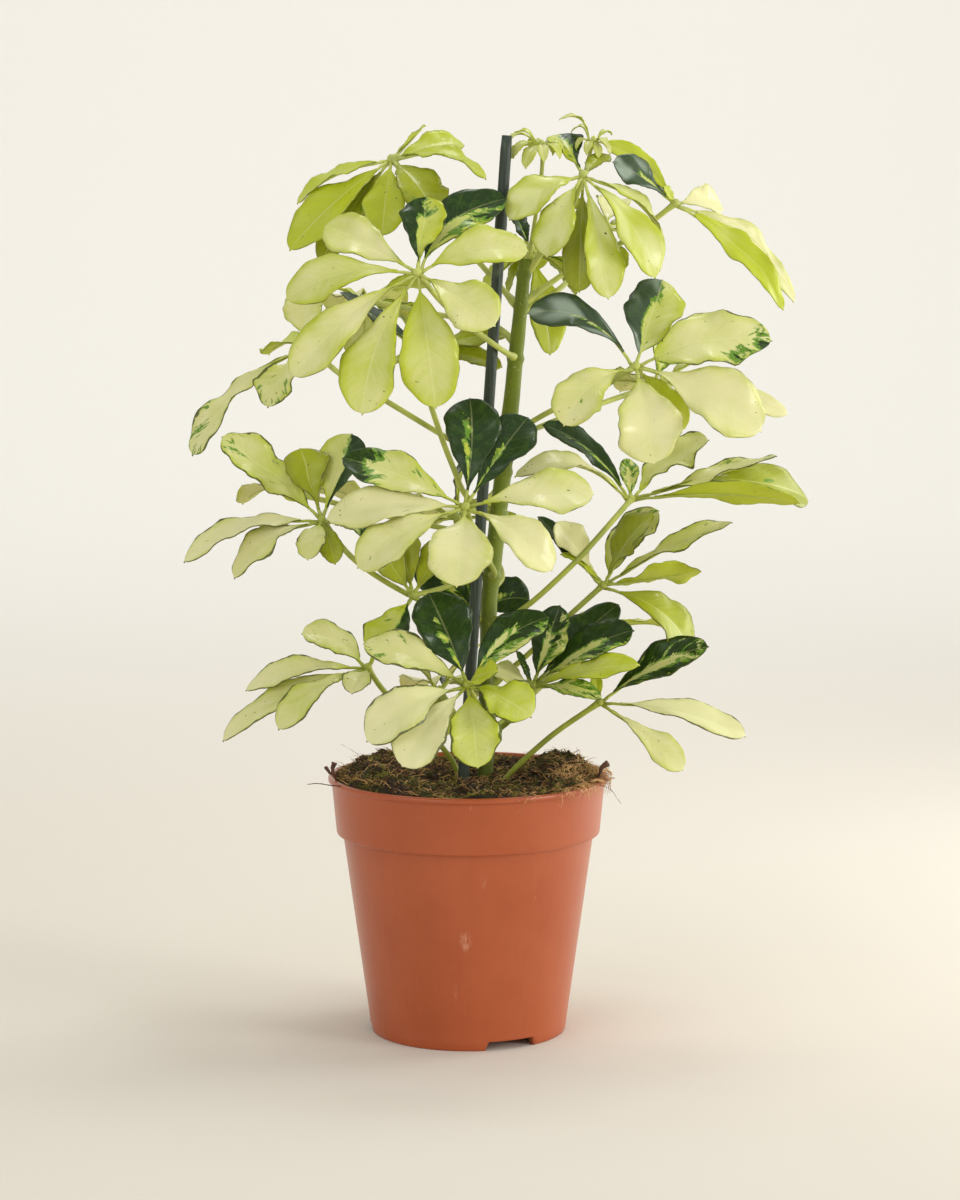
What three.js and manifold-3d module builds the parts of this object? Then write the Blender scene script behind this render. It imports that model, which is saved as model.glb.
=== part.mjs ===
// A potted dwarf umbrella plant: a plastic nursery pot filled with soil, one upright stem beside
// a support stake, and compound leaves whose leaflets spread from a hub like an umbrella's ribs.
// Millimetres, +Z up. The origin is the middle of the pot's flat base, and -Y is the front.

import * as THREE from "three";
import { ConvexGeometry } from "three/addons/geometries/ConvexGeometry.js";
import { mergeVertices } from "three/addons/utils/BufferGeometryUtils.js";
import Module from "manifold-3d";

// Pot
const RIM_RADIUS = 70;
const POT_HEIGHT = 129.3;
const LIP_HEIGHT = 2.8;
const LIP_OVERHANG = 1.7;
const BAND_HEIGHT = 28.3;
const BAND_TAPER = 2.4;
const BAND_STEP = 3.2;
const FOOT_RADIUS = 48.9;
const WALL = 1.4;
const FLOOR_LIFT = 5;
const HUB_DISC_RADIUS = 20;
const POT_SIDES = 36;
const NOTCH_COUNT = 3;
const NOTCH_ANGLE = 30;
const NOTCH_FIRST = -64;
const NOTCH_HEIGHT = 4.6;
const NOTCH_DEPTH = 7;
const FOOT_RING = 5;
const MID_WALL = 0.8;
const DRAIN_COUNT = 8;
const DRAIN_RADIUS = 4;
const DRAIN_CIRCLE = 33;
const DRAIN_SIDES = 8;
const DRAIN_CUT = 8;

// Soil
const GAP = 0.3;
const SOIL_TOP = 127;
const SOIL_MOUND = 8;
const SOIL_SIDES = 28;
const SOIL_EDGE_DIP = 2.2;
const SOIL_EDGE_RADIUS = 62;

// Stem and stake
const STEM_BASE = new THREE.Vector3(7, 0, 72);
const STEM_TOP = new THREE.Vector3(28.2, 0, 387);
const STEM_LEAN = [[72, 6.5], [124, 8.4], [217, 10.4], [267, 15.8], [316, 21.4], [366, 26.3], [387, 28.2]];
const STEM_KNOTS = [158, 172, 206, 229, 260, 281, 299, 337, 363, 378];
const STEM_RADIUS_LOW = 4;
const STEM_RADIUS_MID = 4.3;
const STEM_RADIUS_TOP = 3;
const STEM_THICKEST = 300;
const KNOT_SWELL = 0.6;
const KNOT_BELOW = 3.5;
const KNOT_ABOVE = 2;
const STEM_SIDES = 8;
const STAKE_FOOT = new THREE.Vector3(-10, -9, 16);
const STAKE_HEAD = new THREE.Vector3(19, -9, 445.6);
const STAKE_RADIUS = 2.85;
const STAKE_SIDES = 16;

// Leaves
const BLADE = 0.8;
const FOLD = 0.16;
const WAVE = 0.055;
const WAVES_ALONG = 1.6;
const WAVE_TURN = 2.4;
const WIDEST = 0.62;
const FULLNESS = 0.65;
const TIP_SET_BACK = 0.04;
const TIP_WIDTH = 0.36;
const LEAFLET_STALK = 0.14;
const LEAFLET_STALK_HALF = 0.7;
const HUB_RADIUS = 3;
const HUB_CORE = 2.2;
const HUB_START = 2.3;
const ROOT_HALF = 1;
const STALK_RADIUS = 1.4;
const STALK_SIDES = 5;
const SHORT_LEAFLET = 28;
const LONG_LEAFLET = 50;
const SLIVER = 0.02;

// Each leaf has its hub, where the leaflets meet, the way its upper face looks, and the points
// that its stalk takes from the stem, or from below the soil's surface. A leaflet's row gives its
// tip from the hub in x, y and z, its width, its roll about its own rib in degrees, its arch, how
// far the rib rises in the middle, its sway, how far the rib bows to the side, and, where it isn't
// the usual one, the share of its length where it is widest. In a crowded leaf the leaflets' stalks
// leave the hub close together.
const LEAVES = {
  leaf_top_left: {
    hub: [-38, 20, 435],
    face: [0, -0.3, 0.95],
    stalk: [[24, 0, 363], [16, 6, 372], [-5, 14, 396], [-24, 19, 419]],
    leaflets: [
      [-47, 0, -22, 17, 0, 5, 0],
      [-50, -15, -45, 24, -20, 4, 0],
      [-35, -8, -52, 20, -20, 4, 0],
      [-4, -22, -38, 21, 0, 3, 0],
      [22, -25, -27, 27, 0, 3, 0],
      [36, 10, 7, 20, 15, 3, 0],
      [47, -12, -10, 15, 0, 8, 0],
      [16, 25, 17, 9, -47, 0, 0],
    ],
  },
  leaf_upper_front: {
    hub: [-24, -45, 380],
    face: [0, -0.85, 0.5],
    stalk: [[24, 0, 337], [19, -9, 340], [12, -15, 345], [3, -20, 352], [-12, -31, 365]],
    leaflets: [
      [-45, 18, 22, 24, 0, 3, 0, 0.7],
      [-63, 4, -13, 22, 0, 5, -5, 0.7],
      [-59, -18, -49, 23, 0, 5, -3, 0.72],
      [-26, -18, -67, 27, 0, 3, -5, 0.72],
      [9, -16, -64, 29, 0, 3, 0],
      [37, -16, -25, 27, 0, 3, 0, 0.7],
      [53, 6, 10, 21, 0, 5, 4],
      [43, 28, 35, 22, 0, 0, 9],
      [4, 14, 36, 22, 0, 0, 0, 0.7],
    ],
  },
  leaf_top_right: {
    hub: [56, -10, 427],
    face: [0, -0.3, 0.95],
    stalk: [[28, 1, 378], [42, -1, 397], [52, -5, 414]],
    leaflets: [
      [-11, 27, 20, 19, 0, 0, 0, 0.78],
      [-36, -8, -22, 21, -25, 4, -2],
      [-18, -18, -40, 22, 0, 4, 0, 0.7],
      [-2, -12, -57, 18, 0, 2, 0, 0.7],
      [12, -20, -60, 20, 0, 4, 0, 0.7],
      [35, -14, -50, 22, 12, 8, 0, 0.68],
      [41, 10, -36, 18, 0, 8, 0],
      [12, 18, 10, 12, 0, 0, 0],
    ],
  },
  young_leaf_tip: {
    crowded: true,
    hub: [36, 5, 443],
    face: [0, -0.2, 1],
    stalk: [[28, 0, 378], [31, 2, 393], [34, 3, 412], [36.5, 4, 432]],
    leaflets: [
      [-18, -4, -2, 4, 0, 5, 0],
      [-18, -10, -12, 5, 0, 4, 0],
      [-8, -14, -13, 6, 0, 3, 0],
      [9, -10, -8, 4, 0, 3, 0],
      [-15, 8, 1, 4, 0, 5, 0],
      [-5, 13, -3, 4, 0, 3, 0],
    ],
  },
  young_leaf_back: {
    crowded: true,
    hub: [62, 12, 445],
    face: [0, -0.2, 1],
    stalk: [[27, 2, 371], [36, 12, 391], [55, 14, 420]],
    leaflets: [
      [-17, -4, 9, 6, 0, 5, 0],
      [-11, 4, 3, 4, 0, 4, 0],
      [6, -8, -4, 3, 0, 2, 0],
      [9, 6, 2, 3, 0, 2, 0],
    ],
  },
  leaf_far_right: {
    hub: [102, 5, 413],
    face: [0.3, -0.75, 0.5],
    stalk: [[26, 0, 363], [50, 11, 380], [80, 13, 396]],
    leaflets: [
      [-35, 5, 29, 13, 0, 0, -6],
      [-31, -8, 20, 17, 0, 0, -2, 0.7],
      [24, 25, 0, 17, 0, 3, 0],
      [53, -8, -52, 15, 0, 3, 6, 0.5],
      [61, 20, -49, 13, 0, 5, 8, 0.5],
      [-6, -6, 8, 6, 0, 0, 0],
    ],
  },
  leaf_right_front: {
    hub: [81, -35, 335],
    face: [0.05, -0.85, 0.5],
    stalk: [[19, 0, 299], [31, -6, 306], [41, -12, 312], [62, -23, 322]],
    leaflets: [
      [-52, 12, 25, 19, 0, 6, -8, 0.72],
      [14, 22, 41, 28, 0, 0, 0],
      [66, 5, 12, 29, 0, 5, 4, 0.5],
      [60, -10, -31, 33, 0, 6, 2, 0.68],
      [8, -20, -46, 32, 0, 3, 0],
      [-35, -14, -28, 24, 0, 6, -5, 0.7],
      [75, 14, -24, 12, 0, 4, 0, 0.75],
      [25, 12, -31, 17, 0, 2, 0],
    ],
  },
  leaf_middle_front: {
    hub: [-1, -68, 270],
    face: [0, -0.75, 0.66],
    stalk: [[11, 0, 229], [13, -12, 232], [9, -30, 242], [3, -50, 256]],
    leaflets: [
      [2, 25, 50, 27, 0, 4, -2, 0.68],
      [30, 22, 41, 25, 0, 3, 0, 0.7],
      [61, 2, 6, 25, 0, 5, 0, 0.68],
      [41, -14, -29, 22, 0, 9, 0, 0.7],
      [-4, -30, -35, 31, 0, 3, 0],
      [-51, -12, -28, 24, 0, 7, 0, 0.72],
      [-66, 2, -6, 22, 0, 6, 0],
      [-59, 14, 22, 23, 0, 4, 0],
    ],
  },
  leaf_middle_left: {
    hub: [-71, -30, 260],
    face: [-0.1, -0.4, 0.9],
    stalk: [[10, 0, 206], [-4, -4, 210], [-27, -12, 220], [-56, -22, 240]],
    leaflets: [
      [-49, 10, 40, 23, -15, 0, -2],
      [-11, 12, 34, 22, 0, 0, 0, 0.75],
      [14, 16, 41, 25, 0, 0, 0, 0.7],
      [-67, -5, -20, 20, 0, 9, 0],
      [-42, -14, -27, 21, 0, 8, 0],
      [-6, -22, -17, 15, 0, 2, 0],
      [24, -10, -7, 15, 0, 4, 0],
      [7, -14, -20, 12, 0, 2, 0],
    ],
  },
  leaf_outer_left: {
    hub: [-80, 20, 343],
    face: [-0.1, -0.4, 0.9],
    stalk: [[17, 0, 281], [7, 2, 288], [-11, 3, 298], [-43, 8, 317], [-64, 13, 329]],
    leaflets: [
      [-58, -5, -55, 19, -10, 8, -3, 0.75],
      [-19, -20, -30, 21, 0, 4, 0, 0.7],
      [-4, 8, 27, 20, 0, 0, 0],
      [24, 14, 12, 18, 0, 3, 0],
      [-22, 36, -6, 20, 0, 4, 0],
    ],
  },
  leaf_middle_right: {
    hub: [81, 5, 267],
    face: [0.1, -0.3, 0.95],
    stalk: [[10, 0, 206], [23, -9, 211], [51, -15, 236], [72, -6, 258]],
    leaflets: [
      [-44, 0, 37, 16, -20, 0, -8],
      [-1, 18, 19, 10, 0, 0, 0],
      [39, 10, 29, 24, 0, 0, 6],
      [72, -2, 22, 14, 0, 0, 0],
      [83, -8, -1, 16, -60, 0, -6],
      [91, 28, -3, 22, 30, 17, 0, 0.78],
      [-58, -20, 13, 22, 0, 12, 0],
    ],
  },
  leaf_lower_right: {
    hub: [67, -3, 225],
    face: [0, -0.3, 0.95],
    stalk: [[9, 0, 172], [30, 0, 190], [52, -1, 211]],
    leaflets: [
      [-21, -4, 16, 9, 0, 2, 0],
      [-23, 6, 31, 22, 0, 0, 0, 0.72],
      [-32, 14, 33, 12, 0, 0, 0],
      [25, -2, 35, 23, 0, 0, 6],
      [28, 14, 36, 24, 0, 0, 5],
      [64, 5, 31, 16, 0, 3, 0],
      [48, -8, 8, 20, -50, 0, 0],
      [44, 12, -38, 25, 30, 12, 0],
    ],
  },
  leaf_low_inner_right: {
    hub: [32, -25, 178],
    face: [0, -0.6, 0.8],
    stalk: [[9, 0, 148], [20, -13, 158], [29, -21, 170]],
    leaflets: [
      [13, 4, 39, 20, 0, 0, 0],
      [49, -6, 28, 23, 0, 0, 5],
      [51, -20, 13, 16, 0, 3, 0],
      [33, -16, -4, 12, 0, 3, 0],
      [-21, -8, 8, 14, 0, 2, 0],
      [-8, -10, 18, 6, 0, 0, 0],
      [43, 26, 37, 20, 0, 3, 0],
    ],
  },
  leaf_low_right: {
    hub: [65, -15, 168],
    face: [0, -0.6, 0.7],
    stalk: [[12, -9, 108], [14, -9.5, 122], [38, -12, 148]],
    leaflets: [
      [53, -8, 29, 21, 0, 0, 5],
      [72, -6, -16, 17, 0, 4, 3, 0.7],
      [41, -12, -32, 17, 0, 3, 0, 0.75],
      [-2, 6, 14, 6, 0, 0, 0],
    ],
  },
  leaf_low_front: {
    hub: [0, -65, 184],
    face: [0, -0.7, 0.7],
    stalk: [[9, 0, 158], [9, -14, 160], [6, -35, 168], [2, -52, 178]],
    leaflets: [
      [-19, 20, 42, 29, 0, 3, 0],
      [-50, 8, 19, 21, 0, 6, 0],
      [-48, -14, -25, 27, 0, 9, 0, 0.68],
      [-31, -22, -36, 26, 0, 5, 0, 0.7],
      [5, -25, -36, 25, 0, 3, 0],
      [30, -22, -12, 25, 0, 4, 0, 0.7],
      [39, 14, 31, 21, 0, 2, 5],
      [14, -18, 9, 15, 0, 2, 0],
    ],
  },
  leaf_low_left: {
    crowded: true,
    hub: [-50, -5, 184],
    face: [-0.1, -0.5, 0.85],
    stalk: [[-5, 14, 106], [-5.5, 12.5, 128], [-13, 11, 141], [-42, 2, 171]],
    leaflets: [
      [-33, 8, 16, 20, 0, 0, -6],
      [-61, 4, -12, 18, 0, 7, 0],
      [-72, -6, -36, 18, 0, 8, 0],
      [-43, -26, -27, 19, 0, 8, 0, 0.72],
      [-7, -20, -10, 15, 0, 2, 0],
      [8, 4, 14, 5, 0, 0, 0],
    ],
  },
  leaf_top_back: {
    hub: [31, 26, 391],
    face: [0, -0.2, 1],
    stalk: [[27, 0, 378], [29, 14, 383]],
    leaflets: [
      [-9, 4, 20, 12, 0, 0, 0],
      [-24, -2, -25, 16, 0, 3, 0],
      [-11, 0, -22, 10, 0, 2, 0],
      [10, -8, -53, 20, 0, 3, 0],
      [22, 22, -22, 20, 0, 5, 0],
      [23, 10, -24, 18, 0, 4, 0],
      [2, 45, -12, 20, 0, 5, 0],
      [-25, 30, -5, 20, 0, 5, 0],
    ],
  },
  leaf_behind_stake: {
    hub: [-22, 25, 339],
    face: [0, -0.2, 1],
    stalk: [[14, 0, 260], [0, 0, 268], [-8, -2, 285], [-15, -3, 304], [-20, 6, 320]],
    leaflets: [
      [42, 0, 9, 16, 25, 3, 0],
      [39, -3, -7, 15, 25, 3, 0],
      [-42, 8, 30, 16, 0, 0, 0],
      [-27, -2, -17, 18, 0, 4, 0],
      [6, 40, -8, 20, 0, 5, 0],
    ],
  },
  leaf_inner_left: {
    hub: [-27, -22, 222],
    face: [-0.2, -0.7, 0.6],
    stalk: [[11, 0, 229], [0, -2, 228], [-14, -12, 224]],
    leaflets: [
      [-22, 2, 31, 18, 0, 0, 0],
      [-8, 12, 36, 18, 0, 0, 0],
      [16, 10, 27, 16, 0, 0, 0],
      [-18, -12, -30, 24, 0, 2, 0],
    ],
  },
  leaf_inner_back: {
    crowded: true,
    hub: [5, 22, 208],
    face: [0, -0.9, 0.4],
    stalk: [[10, 0, 190], [8, 12, 198]],
    leaflets: [
      [26, 4, 6, 22, 0, 2, 3],
      [-30, 2, 28, 24, 0, 0, 0],
      [-15, 8, 32, 22, 0, 0, 0],
      [15, 0, -14, 14, 0, 2, 0],
      [-16, 36, -8, 20, 0, 4, 0],
      [16, 36, 0, 20, 0, 4, 0],
    ],
  },
  back_leaf_upper_left: {
    hub: [-54, 75, 364],
    face: [-0.2, 0.3, 0.93],
    stalk: [[23, 0, 345], [14, 16, 352], [-20, 48, 358]],
    leaflets: [
      [-27, 14, 4, 20, 0, 4, 0],
      [-20, 2, -24, 20, 0, 4, 0],
      [4, -4, -34, 22, 0, 3, 0],
      [30, 6, -18, 22, 0, 5, 0],
      [34, 20, 6, 20, 0, 4, 0],
      [-16, 46, -8, 22, 0, 6, 0],
      [18, 48, -6, 22, 0, 6, 0],
    ],
  },
  back_leaf_upper_right: {
    hub: [96, 62, 321],
    face: [0.2, 0.3, 0.93],
    stalk: [[19, 0, 295], [30, 12, 300], [60, 38, 310]],
    leaflets: [
      [33, 8, -8, 20, 0, 4, 0],
      [42, 16, 18, 22, 0, 3, 0],
      [-2, -6, -23, 20, 0, 3, 0],
      [-33, 8, -3, 20, 0, 4, 0],
      [5, 14, 33, 20, 0, 2, 0],
      [-16, 48, -6, 22, 0, 6, 0],
      [22, 46, -8, 22, 0, 6, 0],
    ],
  },
  back_leaf_middle: {
    hub: [-7, 68, 253],
    face: [0, 0.4, 0.9],
    stalk: [[11, 0, 222], [17, 14, 227], [8, 44, 242]],
    leaflets: [
      [-30, 8, 2, 20, 0, 4, 0],
      [-33, 4, -18, 20, 0, 5, 0],
      [2, -6, -28, 22, 0, 3, 0],
      [34, 10, 8, 20, 0, 4, 0],
      [40, 6, -14, 20, 0, 5, 0],
      [8, 16, 34, 22, 0, 2, 0],
      [-16, 50, -10, 22, 0, 6, 0],
      [20, 50, -8, 22, 0, 6, 0],
    ],
  },
  back_leaf_low_right: {
    hub: [60, 50, 190],
    face: [0.2, 0.3, 0.93],
    stalk: [[9, 0, 150], [18, 10, 155], [40, 32, 172]],
    leaflets: [
      [7, 12, 14, 16, 0, 2, 0],
      [-14, 6, 6, 14, 0, 2, 0],
      [20, 8, -2, 16, 0, 3, 0],
      [-14, 44, -8, 20, 0, 5, 0],
      [18, 48, -4, 22, 0, 6, 0],
      [44, 26, 4, 20, 0, 5, 0],
    ],
  },
  back_leaf_low: {
    hub: [-15, 62, 163],
    face: [-0.1, 0.4, 0.9],
    stalk: [[8.5, 0, 138], [6, 12, 141], [-5, 38, 151]],
    leaflets: [
      [-26, 4, -12, 18, 0, 4, 0],
      [-20, 10, 13, 18, 0, 3, 0],
      [1, -2, -25, 18, 0, 2, 0],
      [21, 12, 22, 18, 0, 2, 0],
      [31, 8, -8, 18, 0, 4, 0],
      [-16, 46, -8, 22, 0, 6, 0],
      [18, 48, -6, 22, 0, 6, 0],
    ],
  },
  back_leaf_top: {
    hub: [70, 58, 402],
    face: [0.2, 0.3, 0.93],
    stalk: [[27, 0, 360], [44, 9, 370], [60, 34, 386]],
    leaflets: [
      [-18, 6, -14, 18, 0, 3, 0],
      [4, -4, -28, 18, 0, 3, 0],
      [23, 6, -14, 18, 0, 4, 0],
      [-23, 12, 10, 18, 0, 3, 0],
      [-12, 44, -10, 20, 0, 6, 0],
      [22, 42, -10, 20, 0, 6, 0],
      [6, 36, 14, 18, 0, 3, 0],
    ],
  },
  back_leaf_middle_left: {
    hub: [-86, 45, 266],
    face: [-0.3, 0.3, 0.9],
    stalk: [[13, 0, 245], [4, 10, 248], [-40, 30, 256]],
    leaflets: [
      [-22, 10, 7, 16, 0, 2, 0],
      [2, 17, 19, 16, 0, 2, 0],
      [24, 12, 6, 16, 0, 2, 0],
      [-32, 38, -8, 22, 0, 6, 0],
      [-2, 48, -8, 22, 0, 6, 0],
      [28, 38, -6, 20, 0, 5, 0],
    ],
  },
};

const wasm = await Module();
wasm.setup();

// A closed three.js geometry as a solid that can be joined and cut
function solid(geometry) {
  const shell = geometry.clone();
  shell.deleteAttribute("normal");
  shell.deleteAttribute("uv");
  const merged = mergeVertices(shell, 1e-4);
  return new wasm.Manifold(new wasm.Mesh({
    numProp: 3,
    vertProperties: new Float32Array(merged.attributes.position.array),
    triVerts: new Uint32Array(merged.index.array),
  }));
}

function geometryOf(body) {
  const mesh = body.getMesh();
  const geometry = new THREE.BufferGeometry();
  geometry.setAttribute("position", new THREE.BufferAttribute(mesh.vertProperties, 3));
  geometry.setIndex(new THREE.BufferAttribute(mesh.triVerts, 1));
  geometry.computeVertexNormals();
  return geometry;
}

// LatheGeometry turns about Y, and this object stands along Z
function lathe(profile, sides) {
  const points = profile.map(([radius, height]) => new THREE.Vector2(radius, height));
  return new THREE.LatheGeometry(points, sides).rotateX(Math.PI / 2);
}

function tube(points, radius, sides) {
  const section = new THREE.Shape();
  for (let i = 0; i < sides; i += 1) {
    const angle = (2 * Math.PI * i) / sides;
    const x = radius * Math.cos(angle);
    const y = radius * Math.sin(angle);
    if (i === 0) section.moveTo(x, y);
    else section.lineTo(x, y);
  }
  const path = new THREE.CatmullRomCurve3(points);
  const steps = Math.ceil(1.3 * (points.length - 1));
  return new THREE.ExtrudeGeometry(section, { steps, bevelEnabled: false, extrudePath: path });
}

function bar(from, to, radius, sides) {
  const axis = new THREE.Vector3().subVectors(to, from);
  const geometry = new THREE.CylinderGeometry(radius, radius, axis.length(), sides);
  const upright = new THREE.Vector3(0, 1, 0);
  geometry.applyQuaternion(new THREE.Quaternion().setFromUnitVectors(upright, axis.clone().normalize()));
  geometry.translate(...new THREE.Vector3().addVectors(from, to).multiplyScalar(0.5));
  return geometry;
}

function bandBottomRadius() {
  return RIM_RADIUS - LIP_OVERHANG - BAND_TAPER;
}

function bodyTopRadius() {
  return bandBottomRadius() - BAND_STEP;
}

function bandBottom() {
  return POT_HEIGHT - BAND_HEIGHT;
}

// The pot's wall is one turned profile: up the outside, over the lip, and down the inside
function makePot() {
  const bandTop = POT_HEIGHT - LIP_HEIGHT;
  const lipUnder = RIM_RADIUS - LIP_OVERHANG;
  const outside = [
    [0, 0], [HUB_DISC_RADIUS, 0], [HUB_DISC_RADIUS + 2, FLOOR_LIFT],
    [FOOT_RADIUS - FOOT_RING, FLOOR_LIFT], [FOOT_RADIUS - FOOT_RING + 2, 0],
    [FOOT_RADIUS - 0.6, 0], [FOOT_RADIUS, 0.8],
    [bodyTopRadius(), bandBottom() - 1], [bandBottomRadius(), bandBottom()],
    [lipUnder, bandTop], [RIM_RADIUS, bandTop + 0.4],
    [RIM_RADIUS, POT_HEIGHT - 0.8], [RIM_RADIUS - 0.8, POT_HEIGHT],
  ];
  const inside = [
    [lipUnder - WALL, POT_HEIGHT],
    [bandBottomRadius() - WALL, bandBottom() + 1.2], [bodyTopRadius() - WALL, bandBottom() - 0.4],
    [FOOT_RADIUS - WALL + MID_WALL, FLOOR_LIFT + WALL], [HUB_DISC_RADIUS + 1, FLOOR_LIFT + WALL],
    [HUB_DISC_RADIUS - 1, WALL], [0, WALL],
  ];
  let pot = solid(lathe([...outside, ...inside], POT_SIDES));
  const notchWidth = 2 * FOOT_RADIUS * Math.sin(THREE.MathUtils.degToRad(NOTCH_ANGLE / 2));
  for (let i = 0; i < NOTCH_COUNT; i += 1) {
    const notch = new THREE.BoxGeometry(NOTCH_DEPTH, notchWidth, 2 * NOTCH_HEIGHT);
    notch.translate(FOOT_RADIUS, 0, 0);
    notch.rotateZ(THREE.MathUtils.degToRad(NOTCH_FIRST + (360 * i) / NOTCH_COUNT));
    pot = pot.subtract(solid(notch));
  }
  for (let i = 0; i < DRAIN_COUNT; i += 1) {
    const angle = (2 * Math.PI * (i + 0.5)) / DRAIN_COUNT;
    const drain = new THREE.CylinderGeometry(DRAIN_RADIUS, DRAIN_RADIUS, DRAIN_CUT, DRAIN_SIDES);
    drain.rotateX(Math.PI / 2);
    drain.translate(DRAIN_CIRCLE * Math.cos(angle), DRAIN_CIRCLE * Math.sin(angle), FLOOR_LIFT);
    pot = pot.subtract(solid(drain));
  }
  return pot;
}

// How far the stem's centre lies to the right at a height
function stemLean(height) {
  const last = STEM_LEAN.length - 1;
  for (let i = 0; i < last; i += 1) {
    const [lowHeight, lowX] = STEM_LEAN[i];
    const [highHeight, highX] = STEM_LEAN[i + 1];
    if (height <= highHeight) {
      const share = (height - lowHeight) / (highHeight - lowHeight);
      return lowX + (highX - lowX) * share;
    }
  }
  return STEM_LEAN[last][1];
}

function stemRadius(height) {
  const low = Math.min(Math.max((height - STEM_BASE.z) / (STEM_THICKEST - STEM_BASE.z), 0), 1);
  const high = Math.max((height - STEM_THICKEST) / (STEM_TOP.z - STEM_THICKEST), 0);
  const plain = STEM_RADIUS_LOW + (STEM_RADIUS_MID - STEM_RADIUS_LOW) * low;
  return plain + (STEM_RADIUS_TOP - STEM_RADIUS_MID) * high;
}

// The stem is turned straight, swollen at each knot where a leaf stalk leaves it, and then bent
function makeStem(extra) {
  const profile = [[0, STEM_BASE.z - extra], [stemRadius(STEM_BASE.z) + extra, STEM_BASE.z - extra]];
  const rings = [];
  for (const knot of STEM_KNOTS) {
    rings.push([knot - KNOT_BELOW, 0], [knot, KNOT_SWELL], [knot + KNOT_ABOVE, 0]);
  }
  rings.sort((a, b) => a[0] - b[0]);
  for (const [height, swell] of rings) profile.push([stemRadius(height) + swell + extra, height]);
  profile.push([stemRadius(STEM_TOP.z) + extra, STEM_TOP.z - 1], [0, STEM_TOP.z + extra]);
  const geometry = lathe(profile, STEM_SIDES);
  const place = geometry.attributes.position;
  for (let i = 0; i < place.count; i += 1) place.setX(i, place.getX(i) + stemLean(place.getZ(i)));
  return solid(geometry);
}

function makeStake(extra) {
  return solid(bar(STAKE_FOOT, STAKE_HEAD, STAKE_RADIUS + extra, STAKE_SIDES));
}

// Half of a leaflet's width at a share of its blade, which is broadest beyond the middle
function halfWidth(blade, width, widest) {
  const power = Math.log(0.5) / Math.log(widest);
  return (width / 2) * Math.max(Math.sin(Math.PI * blade ** power), 0) ** FULLNESS;
}

function stationsOf(length) {
  if (length < SHORT_LEAFLET) return [0, 0.52, 1];
  if (length < LONG_LEAFLET) return [0, 0.36, 0.76, 1];
  return [0, 0.26, 0.54, 0.82, 1];
}

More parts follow.
